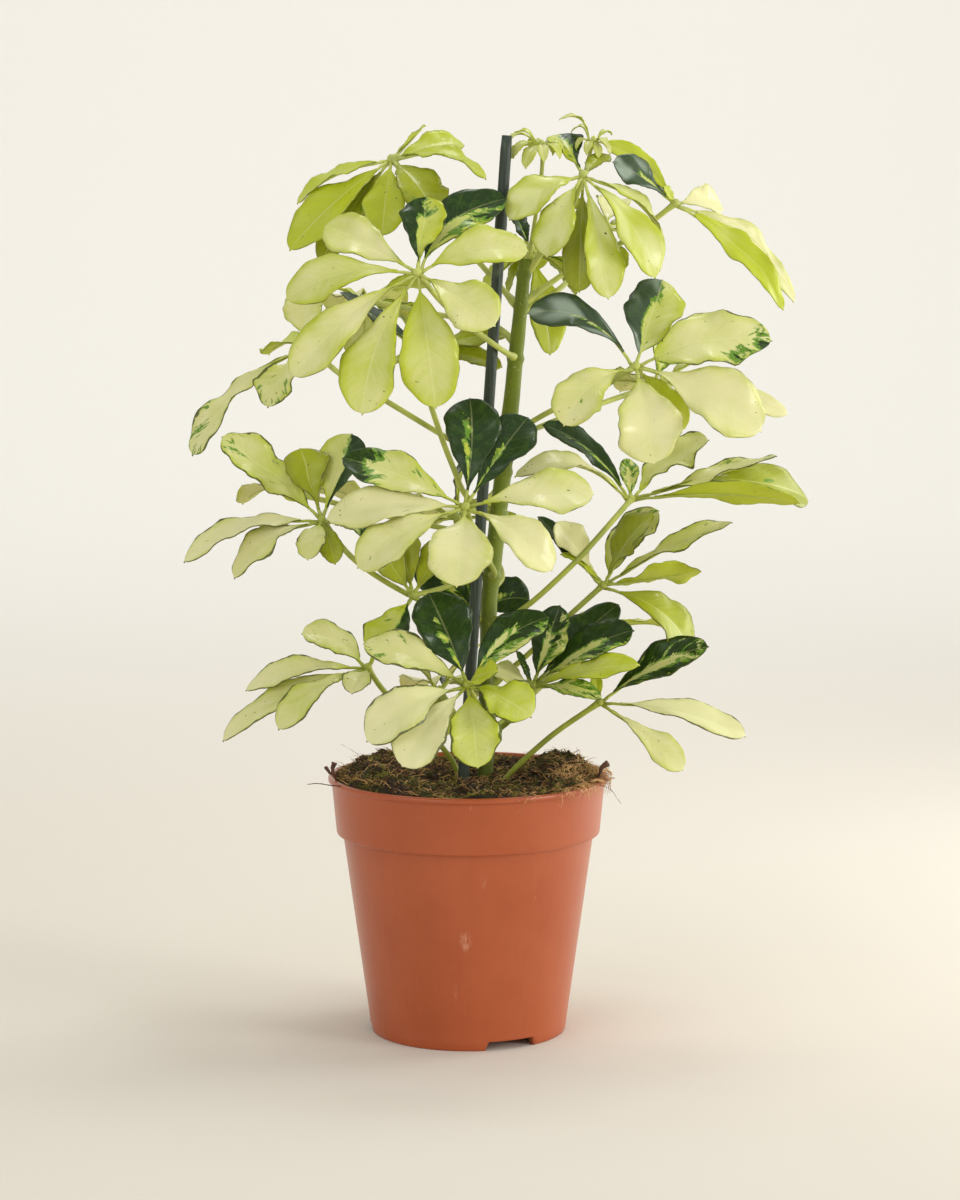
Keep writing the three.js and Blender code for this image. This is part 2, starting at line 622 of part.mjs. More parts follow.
// A leaflet is a thin three-cornered stalk and then a blade with a rib, two margins and a blunt
// end. The blade's upper and lower faces are split into the same triangles.
function makeLeaflet(leaf, row, order) {
  const hub = new THREE.Vector3(...leaf.hub);
  const face = new THREE.Vector3(...leaf.face).normalize();
  const [x, y, z, width, roll, arch, sway, widest = WIDEST] = row;
  const rib = new THREE.Vector3(x, y, z);
  const length = rib.length();
  const start = (leaf.crowded ? HUB_START : HUB_RADIUS) / length;
  const along = rib.clone().normalize();
  const up = face.clone().addScaledVector(along, -face.dot(along)).normalize();
  up.applyAxisAngle(along, THREE.MathUtils.degToRad(roll));
  const side = new THREE.Vector3().crossVectors(up, along);

  const place = (share, edge, half, rise) => {
    const run = (share - start) / (1 - start);
    const bow = 4 * run * (1 - run);
    const slope = Math.atan2(4 * sway * (1 - 2 * run), length);
    return hub.clone()
      .addScaledVector(along, length * share - edge * half * Math.sin(slope))
      .addScaledVector(side, sway * bow + edge * half * Math.cos(slope))
      .addScaledVector(up, arch * bow + rise);
  };
  const bladePoint = (blade, edge, lift) => {
    const atTip = blade === 1 && edge !== 0;
    const share = LEAFLET_STALK + (1 - LEAFLET_STALK) * (atTip ? 1 - TIP_SET_BACK : blade);
    const half = blade === 1 ? (TIP_WIDTH * width) / 2 : halfWidth(blade, width, widest);
    const wide = Math.max(half, LEAFLET_STALK_HALF);
    const ripple = WAVE * width * Math.sin(2 * Math.PI * WAVES_ALONG * share + WAVE_TURN * order + edge);
    const bend = blade > 0 && blade < 1 ? Math.abs(edge) * (FOLD * half + ripple) : 0;
    return place(share, edge, wide, bend + lift);
  };

  const corners = [
    place(start, -1, LEAFLET_STALK_HALF, LEAFLET_STALK_HALF),
    place(start, 1, LEAFLET_STALK_HALF, LEAFLET_STALK_HALF),
    place(start, 0, LEAFLET_STALK_HALF, -LEAFLET_STALK_HALF),
  ];
  const stations = stationsOf(length);
  for (const blade of stations) {
    for (const lift of [BLADE / 2, -BLADE / 2]) {
      for (const edge of [-1, 0, 1]) corners.push(bladePoint(blade, edge, lift));
    }
  }
  const faces = [0, 1, 2, 0, 3, 4, 0, 4, 1, 1, 4, 5, 2, 7, 6, 2, 8, 7];
  faces.push(0, 2, 6, 0, 6, 3, 1, 5, 8, 1, 8, 2);
  for (let i = 0; i < stations.length - 1; i += 1) {
    const here = 3 + 6 * i;
    const next = here + 6;
    faces.push(here, next, next + 1, here, next + 1, here + 1);
    faces.push(here + 1, next + 1, next + 2, here + 1, next + 2, here + 2);
    faces.push(here + 3, next + 4, next + 3, here + 3, here + 4, next + 4);
    faces.push(here + 4, next + 5, next + 4, here + 4, here + 5, next + 5);
    faces.push(here, here + 3, next + 3, here, next + 3, next);
    faces.push(here + 2, next + 2, next + 5, here + 2, next + 5, here + 5);
  }
  const end = 3 + 6 * (stations.length - 1);
  faces.push(end, end + 3, end + 4, end, end + 4, end + 1);
  faces.push(end + 1, end + 4, end + 5, end + 1, end + 5, end + 2);
  const geometry = new THREE.BufferGeometry();
  geometry.setAttribute("position", new THREE.Float32BufferAttribute(corners.flatMap((p) => p.toArray()), 3));
  geometry.setIndex(faces);
  if (!leaf.crowded) return { blade: solid(geometry), root: corners.slice(0, 3) };
  const socket = HUB_RADIUS / length;
  const root = [
    place(socket, -1, ROOT_HALF, ROOT_HALF),
    place(socket, 1, ROOT_HALF, ROOT_HALF),
    place(socket, 0, ROOT_HALF, -ROOT_HALF),
  ];
  return { blade: solid(geometry), root };
}

function stalkPoints(leaf) {
  return [...leaf.stalk, leaf.hub].map((point) => new THREE.Vector3(...point));
}

function standsInSoil(leaf) {
  return leaf.stalk[0][2] < SOIL_TOP;
}

// The hub is the hull round a small core and a socket for each leaflet, wider than its stalk
function makeHub(hub, roots) {
  const points = [...roots];
  for (const axis of [[1, 0, 0], [0, 1, 0], [0, 0, 1]]) {
    for (const reach of [HUB_CORE, -HUB_CORE]) {
      points.push(new THREE.Vector3(...axis).multiplyScalar(reach).add(hub));
    }
  }
  return solid(new ConvexGeometry(points));
}

// One leaf is one grown piece: its stalk, a small swelling at the hub, and its leaflets
function makeLeaf(leaf, stemRoom) {
  const hub = new THREE.Vector3(...leaf.hub);
  let stalk = solid(tube(stalkPoints(leaf), STALK_RADIUS, STALK_SIDES));
  if (!standsInSoil(leaf)) stalk = stalk.subtract(stemRoom);
  const leaflets = leaf.leaflets.map((row, order) => makeLeaflet(leaf, row, order));
  const core = makeHub(hub, leaflets.flatMap((leaflet) => leaflet.root));
  const whole = wasm.Manifold.union([stalk, core, ...leaflets.map((leaflet) => leaflet.blade)]);
  return whole.simplify(SLIVER);
}

// The soil fills the pot, heaps up a little at the left and right of the rim, and has a plain
// hole for the stem, the stake and each leaf stalk that comes up through it
function soilHeight(x, y) {
  const radius = Math.hypot(x, y);
  const sides = Math.max(Math.abs(x) / RIM_RADIUS - 0.45, 0) * SOIL_MOUND * 1.6;
  const clods = 0.7 * Math.sin(x / 7) + 0.6 * Math.sin(y / 6 + 1) + 0.5 * Math.sin((x - y) / 5);
  const edge = radius > SOIL_EDGE_RADIUS ? -SOIL_EDGE_DIP : 0;
  return SOIL_TOP + sides + clods + edge;
}

function makeSoil(holes) {
  const innerTop = RIM_RADIUS - LIP_OVERHANG - WALL - GAP;
  const floor = FLOOR_LIFT + WALL + GAP;
  const profile = [
    [0, WALL + GAP], [HUB_DISC_RADIUS - 1.4, WALL + GAP], [HUB_DISC_RADIUS + 0.6, floor],
    [FOOT_RADIUS - WALL - GAP, floor],
    [bodyTopRadius() - WALL - GAP, bandBottom() - 0.4],
    [bandBottomRadius() - WALL - GAP - 0.2, bandBottom() + 1.2],
    [innerTop - 0.9, SOIL_TOP - 2],
    [56, SOIL_TOP], [44, SOIL_TOP], [30, SOIL_TOP], [15, SOIL_TOP], [0, SOIL_TOP],
  ];
  const geometry = lathe(profile, SOIL_SIDES);
  const place = geometry.attributes.position;
  for (let i = 0; i < place.count; i += 1) {
    if (place.getZ(i) > SOIL_TOP - 3) place.setZ(i, soilHeight(place.getX(i), place.getY(i)));
  }
  let soil = solid(geometry);
  for (const hole of holes) soil = soil.subtract(hole);
  return soil;
}

function material(color, roughness) {
  return new THREE.MeshStandardMaterial({ color, roughness, metalness: 0 });
}

const plant = new THREE.Group();

function addPiece(name, body, finish) {
  const mesh = new THREE.Mesh(geometryOf(body), finish);
  mesh.name = name;
  plant.add(mesh);
}

const rooted = Object.values(LEAVES).filter(standsInSoil);
const holes = rooted.map((leaf) => solid(tube(stalkPoints(leaf), STALK_RADIUS + GAP, STALK_SIDES)));
const stemRoom = makeStem(GAP);

addPiece("pot", makePot(), material("#b5603f", 0.5));
addPiece("soil", makeSoil([stemRoom, makeStake(GAP), ...holes]), material("#3a2a1c", 0.95));
addPiece("stem", makeStem(0), material("#7f9d22", 0.6));
addPiece("stake", makeStake(0), material("#2c362c", 0.55));
for (const [name, leaf] of Object.entries(LEAVES)) {
  addPiece(name, makeLeaf(leaf, stemRoom), material("#c9cf72", 0.45));
}

export default plant;
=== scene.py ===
# %% [markdown]
# # A potted dwarf umbrella plant
# The plant has one upright stem beside a support stake, in a terracotta-coloured nursery pot full
# of soil. Each leaf is a ring of leaflets that spread from a hub, like an umbrella's ribs.
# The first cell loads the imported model, which gives every piece its place and size in metres.

# %% Load the frame
import math
import random
from collections import namedtuple
from functools import partial

import bmesh
import bpy
from mathutils import Matrix, Quaternion, Vector, noise


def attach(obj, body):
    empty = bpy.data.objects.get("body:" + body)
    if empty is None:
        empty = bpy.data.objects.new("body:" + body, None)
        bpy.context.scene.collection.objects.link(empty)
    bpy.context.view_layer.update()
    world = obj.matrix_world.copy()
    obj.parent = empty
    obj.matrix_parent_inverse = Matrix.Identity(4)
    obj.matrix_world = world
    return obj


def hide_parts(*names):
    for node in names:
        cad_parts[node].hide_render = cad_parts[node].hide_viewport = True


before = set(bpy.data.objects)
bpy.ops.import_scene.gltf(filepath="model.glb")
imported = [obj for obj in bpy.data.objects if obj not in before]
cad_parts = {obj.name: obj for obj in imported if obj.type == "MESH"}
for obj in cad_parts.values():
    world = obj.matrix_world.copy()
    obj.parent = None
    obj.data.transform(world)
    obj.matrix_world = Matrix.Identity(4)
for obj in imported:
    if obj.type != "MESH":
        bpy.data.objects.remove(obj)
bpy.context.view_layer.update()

MM = 0.001

# %% [markdown]
# ## The camera
# The photograph was taken from a little above the pot's rim, with a long lens, which keeps the
# pot's sides nearly parallel. Here the camera stands 1.58 metres away. It comes first, so that
# every later look can be set beside the photograph.

# %% Camera
CAMERA_PLACE = (0.0059, -1.580, 0.406)
CAMERA_DIP = 6.817  # degrees below level
CAMERA_LENS = 96
FILM_WIDTH = 36

camera_data = bpy.data.cameras.new("photo_camera")
camera_data.lens = CAMERA_LENS
camera_data.sensor_width = FILM_WIDTH
camera_data.clip_end = 20
camera = bpy.data.objects.new("photo_camera", camera_data)
bpy.context.scene.collection.objects.link(camera)
camera.location = CAMERA_PLACE
camera.rotation_euler = (math.radians(90 - CAMERA_DIP), 0, 0)
bpy.context.scene.camera = camera
print("camera at", CAMERA_PLACE, "dips", CAMERA_DIP, "degrees")

# %% [markdown]
# ## Small helpers
# Colours are written as sRGB hex, as a paint chart gives them, and Blender works in linear light,
# so one function turns them. Another adds a node, sets it up and links it, so each material below
# reads as a list of steps. Unless a step says otherwise, a Math node multiplies, a Map Range has
# soft ends and a Mix mixes colours, because that is what most of them do here.

# %% Helpers for colours and nodes
PLUS, MINUS, UNSIGNED = ({"operation": name} for name in ("ADD", "SUBTRACT", "ABSOLUTE"))
USUAL = {
    "Math": {"operation": "MULTIPLY"},
    "MapRange": {"interpolation_type": "SMOOTHSTEP"},
    "Mix": {"data_type": "RGBA"},
}


def linear(hex_colour):
    """An sRGB hex colour in linear light. The numbers are those of the sRGB standard."""
    values = [int(hex_colour[i:i + 2], 16) / 255 for i in (1, 3, 5)]
    light = [v / 12.92 if v <= 0.04045 else ((v + 0.055) / 1.055) ** 2.4 for v in values]
    return (*light, 1.0)


def fill(socket, value):
    """Links the value to the socket if it comes from a node, and sets it otherwise."""
    if isinstance(value, bpy.types.NodeSocket):
        socket.id_data.links.new(value, socket)
    else:
        socket.default_value = value


def add_node(tree, kind, *values, out=None, **named):
    """Adds a node and gives the output called out, or else the first one in use.

    The values go to the sockets in use, in their order. A name with a capital is a socket's, and
    one in small letters is a setting's.
    """
    node = tree.nodes.new("ShaderNode" + kind)
    named = {**USUAL.get(kind, {}), **named}
    for name, value in named.items():
        if name.islower():
            setattr(node, name, value)
    for socket, value in zip([s for s in node.inputs if s.enabled], values):
        fill(socket, value)
    for name, value in named.items():
        if not name.islower():
            fill(node.inputs[name], value)
    return node.outputs[out] if out else next(s for s in node.outputs if s.enabled)


def new_material(name):
    """A material, the function that adds nodes to it, and its shader."""
    made = bpy.data.materials.new(name)
    made.use_nodes = True
    return made, partial(add_node, made.node_tree), made.node_tree.nodes["Principled BSDF"]


def noise_coat(add, place, colour, over, span, **settings):
    """Lays a colour over another where a noise is high. Gives the result and the noise."""
    grain = add("TexNoise", place, **settings)
    return add("Mix", add("MapRange", grain, *span), colour, linear(over)), grain


def dress(shader, sockets):
    for name, value in sockets.items():
        fill(shader.inputs[name], value)


def show_piece(name, bm, materials, nodes=(), smooth=True):
    """Makes the bmesh an object that rides on the plant and stands for the named CAD nodes."""
    mesh = bpy.data.meshes.new(name)
    bm.to_mesh(mesh)
    bm.free()
    if smooth:
        mesh.shade_smooth()
    piece = bpy.data.objects.new(name, mesh)
    bpy.context.scene.collection.objects.link(piece)
    for made in materials:
        mesh.materials.append(made)
    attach(piece, "root")
    if nodes:
        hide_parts(*nodes)
    return piece


print("terracotta in linear light", [round(v, 3) for v in linear("#b86040")[:3]])

# %% [markdown]
# ## Sweeping a tube
# Stems, stalks and fibres are all round in section and follow a line. A circle is made at the
# line's start and its edge is extruded from point to point, turning as little as it can on the
# way. That gives each one its own thickness at each point, which a curve's bevel can't do so
# simply.

# %% Helper that sweeps tubes
def ring_places(path, radii):
    """One matrix for each point of the path: where the ring sits, how it is turned and its size."""
    upright = Vector((0, 0, 1))
    turn = upright.rotation_difference((path[1] - path[0]).normalized())
    places = []
    for i, point in enumerate(path):
        if 0 < i < len(path) - 1:
            ahead = (path[i + 1] - path[i - 1]).normalized()
            turn = (turn @ upright).rotation_difference(ahead) @ turn
        size = Matrix.Diagonal((radii[i], radii[i], radii[i], 1))
        places.append(Matrix.Translation(point) @ turn.to_matrix().to_4x4() @ size)
    return places


def sweep(bm, tubes, sides):
    """Extrudes a ring along each tube's path. tubes are (path, radii) with as many points each.

    All the rings are extruded in one call a step, because each call takes longer in a big mesh.
    A number on each point, which extruding copies, says which tube it belongs to.
    """
    number = bm.verts.layers.int.get("tube") or bm.verts.layers.int.new("tube")
    every = [ring_places(path, radii) for path, radii in tubes]
    edges = []
    for i, places in enumerate(every):
        ring = bmesh.ops.create_circle(bm, cap_ends=True, radius=1, segments=sides, matrix=places[0])
        for vert in ring["verts"]:
            vert[number] = i
        edges += {e for v in ring["verts"] for e in v.link_edges}
    for step in range(1, len(every[0])):
        moves = [places[step] @ places[step - 1].inverted() for places in every]
        grown = bmesh.ops.extrude_edge_only(bm, edges=edges)["geom"]
        edges = [g for g in grown if isinstance(g, bmesh.types.BMEdge)]
        for vert in grown:
            if isinstance(vert, bmesh.types.BMVert):
                vert.co = moves[vert[number]] @ vert.co
    bmesh.ops.holes_fill(bm, edges=edges, sides=sides)
    bmesh.ops.recalc_face_normals(bm, faces=bm.faces[:])


def between(first, second, now, start, end):
    """Where now falls between start and end, the point as far between first and second."""
    return first * ((end - now) / (end - start)) + second * ((now - start) / (end - start))


def smooth_path(points, steps):
    """A centripetal Catmull-Rom line through points, in millimetres, as steps + 1 vectors in metres."""
    knots = [Vector(p) for p in points]
    knots = [knots[0] * 2 - knots[1], *knots, knots[-1] * 2 - knots[-2]]
    spans = len(knots) - 3
    path = []
    for i in range(steps + 1):
        place = min(i / steps * spans, spans - 1e-6)
        k = int(place)
        p = knots[k:k + 4]
        t = [0.0]
        for a, b in zip(p, p[1:]):
            t.append(t[-1] + max((b - a).length ** 0.5, 1e-4))
        now = t[1] + (t[2] - t[1]) * (place - k)
        p = [between(p[j], p[j + 1], now, t[j], t[j + 1]) for j in range(3)]
        p = [between(p[j], p[j + 1], now, t[j], t[j + 2]) for j in range(2)]
        path.append(between(p[0], p[1], now, t[1], t[2]) * MM)
    return path


print("a tube needs its own path, radii and number of sides")

# %% [markdown]
# ## The leaves
# Each leaf's row gives its hub, the way its upper face looks, its stalk's line and its leaflets.
# A leaflet's row gives its tip from the hub in millimetres, its width and its finish, then how far
# its rib arches, where along it the blade is widest, how far the rib sways to the side, how
# ruffled the blade is, and its roll about the rib in degrees. What a row leaves out is as on most
# leaflets. The two young leaves are finer in their stalks and blades. The finishes name how cream,
# lime and dark green share a variegated blade.

# %% Leaf table
Leaflet = namedtuple("Leaflet", "x y z width finish arch widest sway ruffle roll",
                     defaults=(3, 0.62, 0, 1.0, 0))
Leaf = namedtuple("Leaf", "hub face stalk leaflets fine", defaults=(1,))
LEAVES = {
    "leaf_top_left": Leaf(
        (-38, 20, 435), (0, -0.3, 0.95),
        [(24, 0, 363), (16, 6, 372), (-5, 14, 396), (-24, 19, 419)],
        [(-47, 0, -22, 17, "lime", 5), (-50, -15, -45, 24, "lime", 4, 0.62, 0, 1.0, -20),
         (-35, -8, -52, 20, "olive", 4, 0.62, 0, 1.0, -20), (-4, -22, -38, 21, "lime"),
         (22, -25, -27, 27, "olive"), (36, 10, 7, 20, "lime", 3, 0.62, 0, 1.0, 15),
         (47, -12, -10, 15, "lime", 8, 0.62, 0, 1.8), (16, 25, 17, 9, "lime", 0, 0.62, 0, 1.0, -47)]),
    "leaf_upper_front": Leaf(
        (-24, -45, 380), (0, -0.85, 0.5),
        [(24, 0, 337), (19, -9, 340), (12, -15, 345), (3, -20, 352), (-12, -31, 365)],
        [(-45, 18, 22, 24, "straw", 3, 0.7), (-63, 4, -13, 22, "straw", 5, 0.7, -5),
         (-59, -18, -49, 23, "straw", 5, 0.72, -3), (-26, -18, -67, 27, "straw", 3, 0.72, -5),
         (9, -16, -64, 29, "straw"), (37, -16, -25, 27, "straw", 3, 0.7),
         (53, 6, 10, 21, "straw", 5, 0.62, 4), (43, 28, 35, 22, "splashed", 0, 0.62, 9, 1.2),
         (4, 14, 36, 22, "patchy", 0, 0.7, 0, 1.8)]),
    "leaf_top_right": Leaf(
        (56, -10, 427), (0, -0.3, 0.95),
        [(28, 1, 378), (42, -1, 397), (52, -5, 414)],
        [(-11, 27, 20, 19, "half under", 0, 0.78),
         (-36, -8, -22, 21, "lime gloss", 4, 0.62, -2, 1.0, -25),
         (-18, -18, -40, 22, "lime gloss", 4, 0.7), (-2, -12, -57, 18, "olive", 2, 0.7),
         (12, -20, -60, 20, "lime gloss", 4, 0.7),
         (35, -14, -50, 22, "lime gloss", 8, 0.68, 0, 1.0, 12), (41, 10, -36, 18, "lime gloss", 8),
         (12, 18, 10, 12, "olive", 0)]),
    "young_leaf_tip": Leaf(
        (36, 5, 443), (0, -0.2, 1),
        [(28, 0, 378), (31, 2, 393), (34, 3, 412), (36.5, 4, 432)],
        [(-18, -4, -2, 5.5, "young", 5), (-18, -10, -12, 6.5, "young", 4),
         (-8, -14, -13, 7.5, "young"), (9, -10, -8, 5.5, "young"), (-15, 8, 1, 5.5, "young", 5),
         (-5, 13, -3, 5.5, "young"), (-14, -12, -8, 5.5, "young", 4), (1, -13, -10, 5.5, "young"),
         (11, -3, -5, 4.5, "young"), (6, 10, -6, 5.5, "young")], fine=0.5),
    "young_leaf_back": Leaf(
        (62, 12, 445), (0, -0.2, 1),
        [(27, 2, 371), (36, 12, 391), (55, 14, 420)],
        [(-17, -4, 9, 7.5, "young", 5), (-11, 4, 3, 5.5, "young", 4), (6, -8, -4, 4.5, "young", 2),
         (9, 6, 2, 4.5, "young", 2), (-4, -9, -8, 4.5, "young", 2), (2, -8, -10, 4.5, "young", 2),
         (8, -5, -8, 4.5, "young", 2), (-9, -5, -6, 4.5, "young")], fine=0.5),
    "leaf_far_right": Leaf(
        (102, 5, 413), (0.3, -0.75, 0.5),
        [(26, 0, 363), (50, 11, 380), (80, 13, 396)],
        [(-35, 5, 29, 13, "lime", 0, 0.62, -6), (-31, -8, 20, 17, "gloss", 0, 0.7, -2),
         (24, 25, 0, 17, "pale"), (53, -8, -52, 15, "lime", 3, 0.5, 6, 2.4),
         (61, 20, -49, 13, "pale", 5, 0.5, 8, 2.4), (-6, -6, 8, 6, "lime", 0)]),
    "leaf_right_front": Leaf(
        (81, -35, 335), (0.05, -0.85, 0.5),
        [(19, 0, 299), (31, -6, 306), (41, -12, 312), (62, -23, 322)],
        [(-52, 12, 25, 19, "gloss", 6, 0.72, -8), (14, 22, 41, 28, "half gloss", 0, 0.62, 0, 1.4),
         (66, 5, 12, 29, "spotted tip", 5, 0.5, 4, 1.6), (60, -10, -31, 33, "cream", 6, 0.68, 2),
         (8, -20, -46, 32, "cream", 3, 0.62, 0, 1.4), (-35, -14, -28, 24, "cream", 6, 0.7, -5, 1.4),
         (75, 14, -24, 12, "pale", 4, 0.75), (25, 12, -31, 17, "lime", 2)]),
    "leaf_middle_front": Leaf(
        (-1, -68, 270), (0, -0.75, 0.66),
        [(11, 0, 229), (13, -12, 232), (9, -30, 242), (3, -50, 256)],
        [(2, 25, 50, 27, "dark", 4, 0.68, -2), (30, 22, 41, 25, "dark", 3, 0.7),
         (61, 2, 6, 25, "cream", 5, 0.68), (41, -14, -29, 22, "cream", 9, 0.7),
         (-4, -30, -35, 31, "cream"), (-51, -12, -28, 24, "cream", 7, 0.72),
         (-66, 2, -6, 22, "cream", 6), (-59, 14, 22, 23, "tip", 4)]),
    "leaf_middle_left": Leaf(
        (-71, -30, 260), (-0.1, -0.4, 0.9),
        [(10, 0, 206), (-4, -4, 210), (-27, -12, 220), (-56, -22, 240)],
        [(-49, 10, 40, 23, "edge", 0, 0.62, -2, 2.4, -15),
         (-11, 12, 34, 22, "olive", 0, 0.75, 0, 1.6), (14, 16, 41, 25, "right", 0, 0.7),
         (-67, -5, -20, 20, "rimmed", 9, 0.62, 0, 1.5),
         (-42, -14, -27, 21, "rimmed", 8, 0.62, 0, 1.5),
         (-6, -22, -17, 15, "rimmed", 2, 0.62, 0, 1.6), (24, -10, -7, 15, "tip", 4),
         (7, -14, -20, 12, "olive", 2)]),
    "leaf_outer_left": Leaf(
        (-80, 20, 343), (-0.1, -0.4, 0.9),
        [(17, 0, 281), (7, 2, 288), (-11, 3, 298), (-43, 8, 317), (-64, 13, 329)],
        [(-58, -5, -55, 19, "edge", 8, 0.75, -3, 2.6, -10),
         (-19, -20, -30, 21, "edge", 4, 0.7, 0, 2.2), (-4, 8, 27, 20, "cream", 0),
         (24, 14, 12, 18, "lime"), (-22, 36, -6, 20, "lime", 4)]),
    "leaf_middle_right": Leaf(
        (81, 5, 267), (0.1, -0.3, 0.95),
        [(10, 0, 206), (23, -9, 211), (51, -15, 236), (72, -6, 258)],
        [(-44, 0, 37, 16, "dark", 0, 0.62, -8, 1.0, -20), (-1, 18, 19, 10, "mixed", 0),
         (39, 10, 29, 24, "rimmed", 0, 0.62, 6, 2.4), (72, -2, 22, 14, "edge", 0, 0.62, 0, 2.6),
         (83, -8, -1, 16, "lime", 0, 0.62, -6, 1.0, -60),
         (91, 28, -3, 22, "olive", 17, 0.78, 0, 2, 30), (-58, -20, 13, 22, "cream", 12)]),
    "leaf_lower_right": Leaf(
        (67, -3, 225), (0, -0.3, 0.95),
        [(9, 0, 172), (30, 0, 190), (52, -1, 211)],
        [(-21, -4, 16, 9, "lime", 2), (-23, 6, 31, 22, "pale", 0, 0.72),
         (-32, 14, 33, 12, "dark", 0), (25, -2, 35, 23, "olive", 0, 0.62, 6, 1.2),
         (28, 14, 36, 24, "edge", 0, 0.62, 5), (64, 5, 31, 16, "edge", 3, 0.62, 0, 1.8),
         (48, -8, 8, 20, "lime", 0, 0.62, 0, 1.5, -50),
         (44, 12, -38, 25, "olive", 12, 0.62, 0, 1.0, 30)]),
    "leaf_low_inner_right": Leaf(
        (32, -25, 178), (0, -0.6, 0.8),
        [(9, 0, 148), (20, -13, 158), (29, -21, 170)],
        [(13, 4, 39, 20, "splashed", 0, 0.62, 0, 1.4), (49, -6, 28, 23, "splashed", 0, 0.62, 5, 1.4),
         (51, -20, 13, 16, "lime"), (33, -16, -4, 12, "mixed"), (-21, -8, 8, 14, "pale", 2),
         (-8, -10, 18, 6, "dark", 0), (43, 26, 37, 20, "dark")]),
    "leaf_low_right": Leaf(
        (65, -15, 168), (0, -0.6, 0.7),
        [(12, -9, 108), (14, -9.5, 122), (38, -12, 148)],
        [(53, -8, 29, 21, "banded", 0, 0.62, 5), (72, -6, -16, 17, "rimmed gloss", 4, 0.7, 3),
         (41, -12, -32, 17, "cream", 3, 0.75), (-2, 6, 14, 6, "lime", 0)]),
    "leaf_low_front": Leaf(
        (0, -65, 184), (0, -0.7, 0.7),
        [(9, 0, 158), (9, -14, 160), (6, -35, 168), (2, -52, 178)],
        [(-19, 20, 42, 29, "dark"), (-50, 8, 19, 21, "edge", 6),
         (-48, -14, -25, 27, "rimmed gloss", 9, 0.68), (-31, -22, -36, 26, "rimmed gloss", 5, 0.7),
         (5, -25, -36, 25, "lime rimmed", 3, 0.62, 0, 1.3),
         (30, -22, -12, 25, "lime rimmed", 4, 0.7, 0, 1.3), (39, 14, 31, 21, "splashed", 2, 0.62, 5),
         (14, -18, 9, 15, "lime", 2)]),
    "leaf_low_left": Leaf(
        (-50, -5, 184), (-0.1, -0.5, 0.85),
        [(-5, 14, 106), (-5.5, 12.5, 128), (-13, 11, 141), (-42, 2, 171)],
        [(-33, 8, 16, 20, "rimmed", 0, 0.62, -6), (-61, 4, -12, 18, "rimmed", 7),
         (-72, -6, -36, 18, "rimmed", 8), (-43, -26, -27, 19, "rimmed", 8, 0.72),
         (-7, -20, -10, 15, "rimmed", 2), (8, 4, 14, 5, "lime", 0)]),
    "leaf_top_back": Leaf(
        (31, 26, 391), (0, -0.2, 1),
        [(27, 0, 378), (29, 14, 383)],
        [(-9, 4, 20, 12, "dark", 0), (-24, -2, -25, 16, "lime"), (-11, 0, -22, 10, "lime", 2),
         (10, -8, -53, 20, "lime"), (22, 22, -22, 20, "mixed", 5), (23, 10, -24, 18, "lime", 4),
         (2, 45, -12, 20, "lime", 5), (-25, 30, -5, 20, "mixed", 5)]),
    "leaf_behind_stake": Leaf(
        (-22, 25, 339), (0, -0.2, 1),
        [(14, 0, 260), (0, 0, 268), (-8, -2, 285), (-15, -3, 304), (-20, 6, 320)],
        [(42, 0, 9, 16, "olive", 3, 0.62, 0, 1.0, 25),
         (39, -3, -7, 15, "olive", 3, 0.62, 0, 1.0, 25), (-42, 8, 30, 16, "dark", 0),
         (-27, -2, -17, 18, "lime", 4), (6, 40, -8, 20, "lime", 5)]),
    "leaf_inner_left": Leaf(
        (-27, -22, 222), (-0.2, -0.7, 0.6),
        [(11, 0, 229), (0, -2, 228), (-14, -12, 224)],
        [(-22, 2, 31, 18, "olive", 0), (-8, 12, 36, 18, "olive", 0), (16, 10, 27, 16, "olive", 0),
         (-18, -12, -30, 24, "patchy", 2)]),
    "leaf_inner_back": Leaf(
        (5, 22, 208), (0, -0.9, 0.4),
        [(10, 0, 190), (8, 12, 198)],
        [(26, 4, 6, 22, "dark", 2, 0.62, 3), (-30, 2, 28, 24, "dark", 0),
         (-15, 8, 32, 22, "dark", 0), (15, 0, -14, 14, "pale", 2), (-16, 36, -8, 20, "lime", 4),
         (16, 36, 0, 20, "mixed", 4)]),
    "back_leaf_upper_left": Leaf(
        (-54, 75, 364), (-0.2, 0.3, 0.93),
        [(23, 0, 345), (14, 16, 352), (-20, 48, 358)],
        [(-27, 14, 4, 20, "lime", 4), (-20, 2, -24, 20, "cream", 4), (4, -4, -34, 22, "cream"),
         (30, 6, -18, 22, "mixed", 5), (34, 20, 6, 20, "lime", 4), (-16, 46, -8, 22, "cream", 6),
         (18, 48, -6, 22, "edge", 6)]),
    "back_leaf_upper_right": Leaf(
        (96, 62, 321), (0.2, 0.3, 0.93),
        [(19, 0, 295), (30, 12, 300), (60, 38, 310)],
        [(33, 8, -8, 20, "cream", 4), (42, 16, 18, 22, "lime"), (-2, -6, -23, 20, "dark"),
         (-33, 8, -3, 20, "cream", 4), (5, 14, 33, 20, "mixed", 2), (-16, 48, -6, 22, "cream", 6),
         (22, 46, -8, 22, "lime", 6)]),
    "back_leaf_middle": Leaf(
        (-7, 68, 253), (0, 0.4, 0.9),
        [(11, 0, 222), (17, 14, 227), (8, 44, 242)],
        [(-30, 8, 2, 20, "cream", 4), (-33, 4, -18, 20, "mixed", 5), (2, -6, -28, 22, "cream"),
         (34, 10, 8, 20, "cream", 4), (40, 6, -14, 20, "lime", 5), (8, 16, 34, 22, "dark", 2),
         (-16, 50, -10, 22, "cream", 6), (20, 50, -8, 22, "lime", 6)]),
    "back_leaf_low_right": Leaf(
        (60, 50, 190), (0.2, 0.3, 0.93),
        [(9, 0, 150), (18, 10, 155), (40, 32, 172)],
